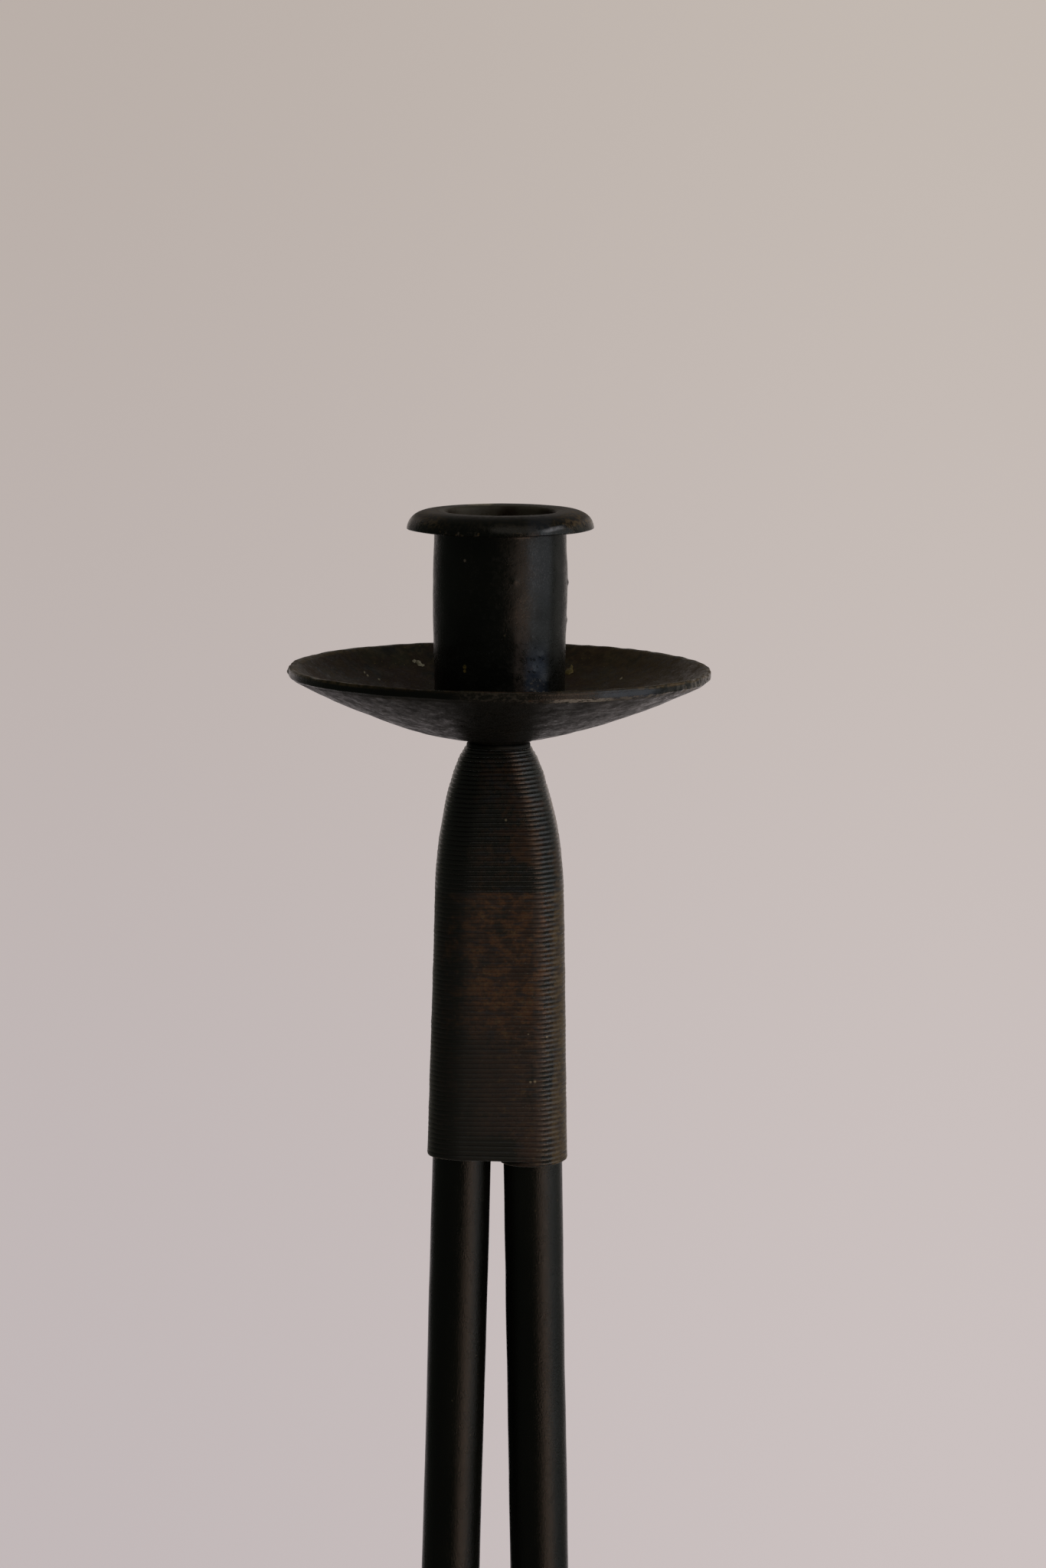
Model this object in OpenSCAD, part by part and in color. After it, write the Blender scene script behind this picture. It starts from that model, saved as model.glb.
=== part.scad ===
// A wrought-iron floor candlestick: a pipe cup with a forged lip, standing in a hammered
// drip pan, on four round rods that close up at the top, are bound with iron wire and
// spread slowly down to four curved feet. Millimetres, +Z up, origin on the floor at the
// middle of the four feet. The front is -Y.

/* [Overall] */
// Height from the floor to the top of the cup's lip
total_h = 1100; // [800:10:1400]

/* [Cup] */
// Outer diameter of the pipe that the cup is made from
cup_d = 26.9; // [25:0.1:32]
// Wall of the pipe
cup_wall = 2.3; // [1.6:0.1:3.2]
// Depth of the cup, from the top of its lip to the floor of the pan
cup_depth = 45.8; // [36:0.1:70]
// How far the cup's wall bulges near its lip
cup_belly = 0.3; // [0:0.05:0.6]
// Diameter of the forged lip
lip_d = 38; // [35:0.1:46]
// Height of the lip
lip_h = 3.5; // [2.4:0.1:5]
// Width over which the lip's crown rolls down to its edge
lip_roll = 4.8; // [2:0.1:5]
// Rounding of the cup's mouth
mouth_r = 0.8; // [0.4:0.1:1]
// Width and height of the braze bead round the cup's foot
bead_w = 1.4; // [0.8:0.1:3]

/* [Drip pan] */
// Diameter of the pan
pan_d = 86; // [70:0.5:120]
// Thickness of the pan's plate
pan_t = 1.5; // [1:0.1:3]
// Slope of the pan beside its flat seat, in degrees
pan_slope_in = 14; // [8:0.5:20]
// Slope of the pan at its rim, in degrees
pan_slope_rim = 28; // [24:0.5:40]
// Height of the rim's upright outer face
rim_h = 1.9; // [1.8:0.1:3.5]
// Width of the rim's level top
rim_t = 1.1; // [0.8:0.1:2]
// Diameter of the collar under the pan
collar_d = 13; // [11:0.1:18]
// Thickness of the collar
collar_t = 1; // [0.8:0.1:4]

/* [Rivet] */
// Diameter of the rivet's shank
rivet_d = 4.7; // [4:0.1:6]
// Length of the shank that the rods grip
rivet_grip = 44; // [32:1:70]
// Diameter of the head that is peened down inside the cup
rivet_head_d = 9; // [7:0.1:12]
// Height of the peened head
rivet_head_h = 1.1; // [0.8:0.1:2.5]

/* [Rods] */
// Diameter of each rod
rod_d = 12; // [10:0.1:14]
// Outward lean of each rod in its own upright plane, in degrees
rod_lean = 1.75; // [1.2:0.05:3]
// Height over which the tips bend in to close the bundle
tip_h = 29.7; // [26:0.1:36]
// How far the tips' centre lines run past the axis before they are ground
tip_cross = 1; // [0:0.1:1.5]

/* [Feet] */
// Bend radius of each foot, on the rod's centre line
foot_bend_r = 100; // [60:5:160]
// Slope of the foot's outer end above the floor, in degrees
foot_slope = 16; // [12:1:30]
// Length over which the rod is drawn down, from the bend to the middle of the pad
foot_taper = 52; // [40:1:80]
// Diameter of the hammered pad
pad_d = 27; // [22:0.5:36]
// Thickness of the pad in its middle
pad_t = 5.2; // [4:0.1:7]
// Thickness of the pad at its edge
pad_edge_t = 2.6; // [1.6:0.1:3.6]

/* [Binding] */
// Diameter of the binding wire
wire_d = 1; // [0.8:0.05:1.4]
// Height of the bound stretch, from the collar down
binding_h = 85.6; // [60:0.1:110]
// Wires drawn side by side as one band
wires_abreast = 4; // [4:1:6]
// Gap between one turn of the band and the next
band_gap = 0.45; // [0.42:0.01:0.6]

/* [Hidden] */
$fn = 96;

// Clearance of the rivet in its holes, and of the cup and the bead on the pan
fit = 0.1;
foot_fit = 0.05;
// Half the gap between two rods, and between the ground faces of their tips
rod_gap = 0.1;
seam = 0.05;
// Clearance of the wire over the rods
wire_fit = 0.08;
// How far the drawn-down end starts inside the bend, and how much thinner it is there
lap = 1;
lap_step = 0.03;
// Depth at which it ends inside the pad
pad_skin = 0.1;
// Depth to which the rim's thickening reaches into the pan's plate
rim_root = 0.2;
// How far a cut runs past the face it goes through
past = 1;

// The stack on top of the rods
lip_z = total_h;
pan_floor_z = lip_z - cup_depth;
pan_under_z = pan_floor_z - pan_t;
bundle_top_z = pan_under_z - collar_t;

// The cup

cup_r = cup_d / 2;
bore_r = cup_r - cup_wall;
lip_r = lip_d / 2;
lip_crown_r = lip_r - lip_roll;
lip_under_z = lip_z - lip_h;
wall_h = lip_under_z - pan_floor_z;
wall_steps = 12;
round_steps = 8;
// Under 1, this lifts the middle of the bulge towards the lip
belly_lift = 0.63;

// Outer radius of the wall at the share u of its height below the lip
function cup_wall_r(u) = cup_r + cup_belly * (1 - cos(360 * pow(u, belly_lift))) / 2;

module candle_cup() {
    wall = [for (i = [0 : wall_steps - 1])
        [cup_wall_r(i / wall_steps), lip_under_z - wall_h * i / wall_steps]];
    foot = [[cup_r, pan_top_z(cup_r) + foot_fit], [bore_r, pan_top_z(bore_r) + foot_fit]];
    mouth = [for (i = [0 : round_steps])
        let (a = 90 * i / round_steps)
        [bore_r + mouth_r * (1 - cos(a)), lip_z - mouth_r * (1 - sin(a))]];
    edge = [for (i = [0 : round_steps])
        let (a = 90 * i / round_steps)
        [lip_crown_r + lip_roll * sin(a), lip_under_z + lip_h * cos(a)]];
    color([0.07, 0.07, 0.075])
        rotate_extrude()
            polygon(concat(wall, foot, mouth, edge));
}

module braze_bead() {
    inner_r = cup_r + foot_fit;
    outer_r = inner_r + bead_w;
    low_z = pan_top_z(inner_r) + foot_fit;
    sag = 0.45;
    color([0.16, 0.14, 0.1])
        rotate_extrude()
            polygon([[inner_r, low_z], [outer_r, pan_top_z(outer_r) + foot_fit],
                     [inner_r + sag * bead_w, low_z + sag * bead_w], [inner_r, low_z + bead_w]]);
}

// The pan is an arc in section round a flat seat, out to a rim that is thickened by upsetting
// and stands upright on its outside. The arc's centre is over the pan's far side.

seat_margin = 0.5;
seat_r = collar_d / 2 + seat_margin;
pan_r = pan_d / 2;
pan_arc_r = (pan_r - seat_r) / (sin(pan_slope_rim) - sin(pan_slope_in));
pan_arc_x = seat_r - pan_arc_r * sin(pan_slope_in);
pan_arc_z = pan_under_z + pan_arc_r * cos(pan_slope_in);
pan_fn = 720;
rim_low_z = pan_arc_z - pan_arc_r * cos(pan_slope_rim);
rim_top_z = rim_low_z + rim_h;
// Radius where the rim's inner slope meets the pan
rim_in_r = pan_r - 2.6 * rim_t;

// Height of the pan's upper face at radius r
function pan_top_z(r) = pan_arc_z - sqrt(pow(pan_arc_r - pan_t, 2) - pow(r - pan_arc_x, 2));

module drip_pan() {
    hole_r = rivet_d / 2 + fit;
    reach = 1.5 * pan_arc_r;
    rim_x = pan_r - pan_arc_x;
    color([0.1, 0.095, 0.09])
        rotate_extrude() {
            translate([hole_r, pan_under_z]) square([seat_r - hole_r, pan_t]);
            translate([pan_arc_x, pan_arc_z])
                intersection() {
                    difference() {
                        circle(r = pan_arc_r, $fn = pan_fn);
                        circle(r = pan_arc_r - pan_t, $fn = pan_fn);
                    }
                    polygon([[0, 0], reach * [sin(pan_slope_in), -cos(pan_slope_in)],
                             [rim_x, -reach], [rim_x, 0]]);
                }
            polygon([[pan_r, rim_low_z + rim_root], [pan_r, rim_top_z],
                     [pan_r - rim_t, rim_top_z], [rim_in_r, pan_top_z(rim_in_r) - rim_root]]);
        }
}

module pan_collar() {
    color([0.1, 0.1, 0.1])
        translate([0, 0, bundle_top_z])
            difference() {
                cylinder(d = collar_d, h = collar_t);
                translate([0, 0, -past]) cylinder(d = rivet_d + 2 * fit, h = collar_t + 2 * past);
            }
}

// The rivet holds the pan and its collar down on the rods

// A disc of thickness edge_h at its rim whose top is domed up to height top_h
module domed_disc(r, edge_h, top_h) {
    rise = top_h - edge_h;
    dome_r = (pow(r, 2) + pow(rise, 2)) / (2 * rise);
    intersection() {
        translate([0, 0, top_h - dome_r]) sphere(r = dome_r);
        cylinder(r = r, h = top_h);
    }
}

module rivet_stud() {
    head_edge = 0.3;
    color([0.12, 0.12, 0.12]) {
        translate([0, 0, bundle_top_z - rivet_grip])
            cylinder(d = rivet_d, h = pan_floor_z - bundle_top_z + rivet_grip + head_edge);
        translate([0, 0, pan_floor_z])
            domed_disc(rivet_head_d / 2, head_edge, rivet_head_h);
    }
}

// The rods

// A rod's centre line lies in an upright plane through the axis. Its points are
// [distance from the axis, height].
rod_r = rod_d / 2;
tip_start = [(rod_r + rod_gap) * sqrt(2), bundle_top_z - tip_h];
tip_in = tip_start.x + tip_cross;
tip_bend_r = (pow(tip_h, 2) + pow(tip_in, 2))
    / (2 * (tip_in * cos(rod_lean) - tip_h * sin(rod_lean)));
tip_centre = tip_start - tip_bend_r * [cos(rod_lean), sin(rod_lean)];
tip_end_a = asin(sin(rod_lean) + tip_h / tip_bend_r);

foot_a = 90 - foot_slope;
pad_r = pad_d / 2;
taper_end_r = pad_t / 2 - pad_skin;
pad_at_z = pad_t / 2;
bend_end_z = pad_at_z + foot_taper * cos(foot_a);
bend_top_z = bend_end_z + foot_bend_r * (sin(foot_a) - sin(rod_lean));
rod_run = (tip_start.y - bend_top_z) / cos(rod_lean);
bend_top_x = tip_start.x + rod_run * sin(rod_lean);
bend_end_x = bend_top_x + foot_bend_r * (cos(rod_lean) - cos(foot_a));
pad_at_x = bend_end_x + foot_taper * sin(foot_a);

// Lean of a rod at height z, and the distance of its centre line from the axis
function rod_a(z) = z < tip_start.y ? rod_lean : asin((z - tip_centre.y) / tip_bend_r);
function rod_at(z) =
    z < tip_start.y ? tip_start.x + (tip_start.y - z) * tan(rod_lean)
                    : tip_centre.x + tip_bend_r * cos(rod_a(z));

// A stretch of rod bent round the origin to the radius r, in the plane of x and z
module bend(r, from_a, turn_a) {
    rotate([90, 0, 0])
        rotate_extrude(angle = turn_a, start = from_a)
            translate([r, 0]) circle(r = rod_r);
}

// A rod along z, from the bend of its foot at the origin to the bend of its tip
module rod_bar() {
    spare_a = 8;
    cylinder(r = rod_r, h = rod_run);
    translate([-tip_bend_r, 0, rod_run]) bend(tip_bend_r, 0, tip_end_a - rod_lean + spare_a);
    translate([foot_bend_r, 0, 0]) bend(foot_bend_r, 180, foot_a - rod_lean);
}

// The drawn-down end and the pad, which stands on the floor
module foot() {
    inner_x = bend_end_x - lap * sin(foot_a);
    inner_z = bend_end_z + lap * cos(foot_a);
    translate([inner_x, 0, inner_z])
        rotate([0, 180 - foot_a, 0])
            cylinder(r1 = rod_r - lap_step, r2 = taper_end_r, h = foot_taper + lap);
    translate([pad_at_x, 0, 0]) domed_disc(pad_r, pad_edge_t, pad_t);
}

// What is taken off a rod's tip: two ground faces, a level top and a groove for the rivet
module tip_cuts() {
    far = 3 * rod_d;
    translate([seam - far, -far, tip_start.y]) cube([far, 2 * far, tip_h + rod_d]);
    translate([-far, seam - far, tip_start.y]) cube([2 * far, far, tip_h + rod_d]);
    translate([-far, -far, bundle_top_z]) cube([2 * far, 2 * far, rod_d]);
    translate([0, 0, bundle_top_z - rivet_grip - fit])
        cylinder(r = rivet_d / 2 + fit, h = rivet_grip + rod_d);
}

// A whole leg in the quarter that starts at the angle quarter_a
module leg(quarter_a) {
    color([0.05, 0.05, 0.05])
        rotate([0, 0, quarter_a]) {
            difference() {
                rotate([0, 0, 45])
                    translate([bend_top_x, 0, bend_top_z])
                        rotate([0, -rod_lean, 0]) rod_bar();
                tip_cuts();
            }
            rotate([0, 0, 45]) foot();
        }
}

// The binding

// The wire lies turn against turn. It is drawn as a band of wires side by side, which makes
// as many times fewer turns, climbs one band a turn and shows each wire as a ridge. The band
// thins out over its first and last turns, so that the binding ends level.
// Share of its diameter that each turn of wire climbs
wire_climb = 0.985;
band_pitch = wires_abreast * wire_d * wire_climb;
// Height of the band's first and last rings
band_thin = 0.3;
band_lo = bundle_top_z - binding_h;
band_hi = bundle_top_z - wire_fit;
band_from = (band_thin + band_gap) / band_pitch;
band_to = (band_hi - band_thin - band_lo) / band_pitch + 1;
corner_rings = 4;
turn_rings = 4 * corner_rings;
ring_a = 90 / corner_rings;
first_ring = ceil(band_from * turn_rings);
last_ring = floor(band_to * turn_rings);

// Lower and upper edges of the band after t turns
function band_low(t) = band_lo + band_pitch * max(0, t - 1);
function band_high(t) = min(band_hi, band_lo + band_pitch * t - band_gap);

// The band in section, from its inner face out, over a height of 1: [out, up]
band_section = concat(
    [[0, 0], [wire_d / 2, 0]],
    [for (i = [1 : 2 * wires_abreast - 1])
        [i % 2 == 1 ? wire_d : wire_d / 2, i / (2 * wires_abreast)]],
    [[wire_d / 2, 1], [0, 1]]);
section_n = len(band_section);

// A level cut through a leaning rod is an ellipse, longer towards the axis. The band's rings
// stand on the corners of the polygon round the four ellipses, where a is the direction that
// the ellipse faces there, counted from its long axis.
function ring_corner(z, a, out) =
    let (long_r = rod_r / cos(rod_a(z)),
         face = norm([long_r * cos(a), rod_r * sin(a)]),
         clear = out + wire_fit + (1 / cos(ring_a / 2) - 1) * (long_r + out))
    [rod_at(z) + pow(long_r, 2) * cos(a) / face + clear * cos(a),
     pow(rod_r, 2) * sin(a) / face + clear * sin(a)];

function band_point(k, p) =
    let (t = k / turn_rings,
         z = band_low(t) + p.y * (band_high(t) - band_low(t)),
         q = ring_corner(z, (k % corner_rings + 0.5) * ring_a - 45, p.x),
         side = floor(k / corner_rings) * 90 - 135)
    [q.x * cos(side) - q.y * sin(side), q.x * sin(side) + q.y * cos(side), z];

band_points = [for (k = [first_ring : last_ring]) for (p = band_section) band_point(k, p)];
ring_count = last_ring - first_ring;

function band_faces() = concat(
    [[for (i = [section_n - 1 : -1 : 0]) i]],
    [for (k = [0 : ring_count - 1]) for (i = [0 : section_n - 1])
        let (j = (i + 1) % section_n, lo = k * section_n, hi = lo + section_n)
        each [[lo + i, lo + j, hi + j], [lo + i, hi + j, hi + i]]],
    [[for (i = [0 : section_n - 1]) ring_count * section_n + i]]);

// The least gap between the upper edge of a turn and the lower edge of the turn above it
band_least_gap = min([for (k = [0 : ring_count - turn_rings]) for (i = [0, 1])
    norm(band_points[(k + turn_rings) * section_n + i]
         - band_points[(k + 1) * section_n - 1 - i])]);

module binding_wire() {
    echo(binding_loops = ring_count / turn_rings,
         binding_triangles = 2 * section_n * ring_count,
         binding_least_gap_mm = band_least_gap);
    color([0.2, 0.13, 0.09]) polyhedron(band_points, band_faces(), convexity = 10);
}

candle_cup();
braze_bead();
drip_pan();
pan_collar();
rivet_stud();
binding_wire();
leg(180);  // leg_front_left
leg(270);  // leg_front_right
leg(90);  // leg_rear_left
leg(0);  // leg_rear_right
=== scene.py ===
"""A wrought-iron floor candlestick, dressed for the photograph.

Metres, +Z up, the front is -Y. The forged cup, the hammered pan, the rods and the wound
wire are meshes made here round the CAD frame. Each one stands for its own CAD node.
"""
from math import atan, atan2, asin, cos, hypot, pi, radians, sin, sqrt, tan

import bmesh
import bpy
import numpy as np
from mathutils import Matrix, Vector


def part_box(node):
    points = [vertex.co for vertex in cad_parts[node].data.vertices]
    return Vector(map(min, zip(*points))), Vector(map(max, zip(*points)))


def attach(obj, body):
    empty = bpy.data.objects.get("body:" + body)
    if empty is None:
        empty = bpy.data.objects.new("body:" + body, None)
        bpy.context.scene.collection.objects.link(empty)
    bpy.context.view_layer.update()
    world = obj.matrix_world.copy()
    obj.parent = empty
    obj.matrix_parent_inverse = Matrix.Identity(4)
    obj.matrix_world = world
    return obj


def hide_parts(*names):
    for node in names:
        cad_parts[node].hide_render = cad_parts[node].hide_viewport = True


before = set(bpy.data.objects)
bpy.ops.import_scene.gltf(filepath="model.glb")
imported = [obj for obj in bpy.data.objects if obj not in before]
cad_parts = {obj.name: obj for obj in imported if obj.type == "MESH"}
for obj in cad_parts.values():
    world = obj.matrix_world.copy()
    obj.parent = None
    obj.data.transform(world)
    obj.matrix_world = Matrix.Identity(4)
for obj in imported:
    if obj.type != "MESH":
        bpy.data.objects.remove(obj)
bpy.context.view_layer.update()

MM = 0.001
SEED = 11

# The photograph and its camera

PHOTO_W, PHOTO_H = 1366, 2048
LENS_MM = 135.07
SENSOR_MM = 36.0
FOCAL_PX = LENS_MM / SENSOR_MM * PHOTO_H
CAMERA_AT = Vector((0.0, -1.1916, 1.2095))
CAMERA_PITCH = radians(7.91)
CAMERA_YAW = radians(0.2345)
CAMERA_ROLL = radians(0.335)

# Sizes that the frame gives

CUP_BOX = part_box("candle_cup")
PAN_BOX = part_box("drip_pan")
COLLAR_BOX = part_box("pan_collar")
BEAD_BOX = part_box("braze_bead")
RIVET_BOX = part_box("rivet_stud")
WIRE_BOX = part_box("binding_wire")
LEG_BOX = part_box("leg_rear_right")

LIP_Z = CUP_BOX[1].z
LIP_R = CUP_BOX[1].x
PAN_R = PAN_BOX[1].x
PAN_UNDER_Z = PAN_BOX[0].z
BUNDLE_TOP_Z = COLLAR_BOX[0].z
COLLAR_R = COLLAR_BOX[1].x
BEAD_R = BEAD_BOX[1].x
RIVET_HEAD_R = RIVET_BOX[1].x
RIVET_TOP_Z = RIVET_BOX[1].z
RIVET_LOW_Z = RIVET_BOX[0].z
WIRE_LOW_Z = WIRE_BOX[0].z
WIRE_HIGH_Z = WIRE_BOX[1].z

# Sizes that the part's source names

CUP_R = 13.45 * MM
CUP_BELLY = 0.3 * MM
BORE_R = 11.15 * MM
MOUTH_R = 0.8 * MM
LIP_H = 3.5 * MM
LIP_ROLL = 4.8 * MM
PAN_T = 1.5 * MM
PAN_SEAT_R = 7.0 * MM
PAN_SLOPE_IN = radians(14)
PAN_SLOPE_RIM = radians(28)
RIM_H = 1.9 * MM
RIM_T = 1.1 * MM
RIVET_R = 2.35 * MM
HOLE_R = 2.45 * MM
ROD_R = 6.0 * MM
ROD_LEAN = radians(1.75)
ROD_GAP = 0.1 * MM
TIP_SEAM = 0.02 * MM
TIP_H = 29.7 * MM
TIP_CROSS = 1.0 * MM
FOOT_BEND_R = 100.0 * MM
FOOT_SLOPE = radians(16)
FOOT_TAPER = 52.0 * MM
TAPER_END_R = 2.5 * MM
PAD_R = 13.5 * MM
PAD_T = 5.2 * MM
PAD_EDGE_T = 2.6 * MM
WIRE_FIT = 0.08 * MM

PAN_FLOOR_Z = PAN_UNDER_Z + PAN_T
LIP_UNDER_Z = LIP_Z - LIP_H
PAN_ARC_R = (PAN_R - PAN_SEAT_R) / (sin(PAN_SLOPE_RIM) - sin(PAN_SLOPE_IN))
PAN_ARC_X = PAN_SEAT_R - PAN_ARC_R * sin(PAN_SLOPE_IN)
PAN_ARC_Z = PAN_UNDER_Z + PAN_ARC_R * cos(PAN_SLOPE_IN)
RIM_LOW_Z = PAN_ARC_Z - PAN_ARC_R * cos(PAN_SLOPE_RIM)
RIM_TOP_Z = RIM_LOW_Z + RIM_H
RIM_IN_R = PAN_R - 2.6 * RIM_T

TIP_X = (ROD_R + ROD_GAP) * sqrt(2)
TIP_Z = BUNDLE_TOP_Z - TIP_H
TIP_IN = TIP_X + TIP_CROSS
TIP_BEND_R = (TIP_H ** 2 + TIP_IN ** 2) / (2 * (TIP_IN * cos(ROD_LEAN) - TIP_H * sin(ROD_LEAN)))
TIP_CENTRE_X = TIP_X - TIP_BEND_R * cos(ROD_LEAN)
TIP_CENTRE_Z = TIP_Z - TIP_BEND_R * sin(ROD_LEAN)
FOOT_A = pi / 2 - FOOT_SLOPE
BEND_END_Z = PAD_T / 2 + FOOT_TAPER * cos(FOOT_A)
BEND_TOP_Z = BEND_END_Z + FOOT_BEND_R * (sin(FOOT_A) - sin(ROD_LEAN))
BEND_TOP_X = TIP_X + (TIP_Z - BEND_TOP_Z) * tan(ROD_LEAN)
BEND_END_X = BEND_TOP_X + FOOT_BEND_R * (cos(ROD_LEAN) - cos(FOOT_A))
PAD_X = BEND_END_X + FOOT_TAPER * sin(FOOT_A)


def smooth_step(value, start, stop):
    """0 before start, 1 after stop, and a smooth rise between them."""
    share = np.clip((value - start) / (stop - start), 0, 1)
    return share * share * (3 - 2 * share)


def smooth_max(a, b, width):
    """The larger of two heights, with the corner between them rounded over width."""
    near = np.clip(0.5 + (a - b) / (2 * width), 0, 1)
    return b + (a - b) * near + width * near * (1 - near)


def waves(points, size, seed, count=28):
    """A smooth random height from about -1 to 1 at each point, with bumps of that size."""
    rng = np.random.default_rng(seed)
    heading = rng.normal(size=(3, count))
    heading /= np.linalg.norm(heading, axis=0)
    turn = heading * rng.uniform(0.6, 1.4, count) * pi / size
    phase = rng.uniform(0, 2 * pi, count)
    return np.sin(points @ turn + phase).sum(axis=-1) / sqrt(count)


def bump_at(distance, width):
    """A round bump, 1 high in its middle, that ends at about twice its width."""
    return np.exp(-(distance / width) ** 2)


# Meshes

def skin(name, grid, closed_rows, caps=False):
    """A mesh over rows of points. Each row is a closed loop, and so are the rows if asked."""
    rows, cols = grid.shape[:2]
    index = np.arange(rows * cols).reshape(rows, cols)
    ahead = np.roll(index, -1, axis=0)
    across = np.roll(index, -1, axis=1)
    both = np.roll(ahead, -1, axis=1)
    quads = np.stack([index, across, both, ahead], axis=-1)
    if not closed_rows:
        quads = quads[:-1]
    faces = quads.reshape(-1, 4).tolist()
    if caps:
        faces += [index[0][::-1].tolist(), index[-1].tolist()]
    return new_piece(name, grid.reshape(-1, 3), faces)


def new_piece(name, points, faces):
    """A smooth mesh object with its faces turned outwards."""
    mesh = bpy.data.meshes.new(name)
    mesh.from_pydata(points.tolist(), [], faces)
    work = bmesh.new()
    work.from_mesh(mesh)
    bmesh.ops.recalc_face_normals(work, faces=work.faces)
    work.to_mesh(mesh)
    work.free()
    mesh.polygons.foreach_set("use_smooth", [True] * len(mesh.polygons))
    piece = bpy.data.objects.new(name, mesh)
    bpy.context.scene.collection.objects.link(piece)
    return piece


def trace(corners, step):
    """Points along a line through the corners, no further apart than step."""
    corners = np.asarray(corners, dtype=float)
    line = []
    for a, b in zip(corners, corners[1:]):
        count = max(1, int(np.ceil(np.linalg.norm(b - a) / step)))
        line += [a + (b - a) * i / count for i in range(count)]
    return np.array(line + [corners[-1]])


def arc(centre, radii, from_a, to_a, count=10):
    """Points on an ellipse in section, from one angle to the other."""
    turn = np.linspace(from_a, to_a, count)
    return [(centre[0] + radii[0] * cos(a), centre[1] + radii[1] * sin(a)) for a in turn]


def revolve(section, count):
    """A closed section of [radius, height], turned round the axis: rows by angle."""
    turn = np.linspace(0, 2 * pi, count, endpoint=False)
    r, z = section[:, 0], section[:, 1]
    return np.stack([np.outer(np.cos(turn), r), np.outer(np.sin(turn), r),
                     np.broadcast_to(z, (count, len(z)))], axis=-1)


def push_out(grid, amount):
    """Moves the points away from the axis."""
    radius = np.linalg.norm(grid[..., :2], axis=-1)
    grid[..., :2] *= (1 + amount / np.maximum(radius, MM))[..., None]


def dress(piece, node, material):
    """The piece stands for its CAD node and moves with it."""
    piece.data.materials.append(material)
    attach(piece, "root")
    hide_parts(node)
    return piece


# Shader nodes

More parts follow.
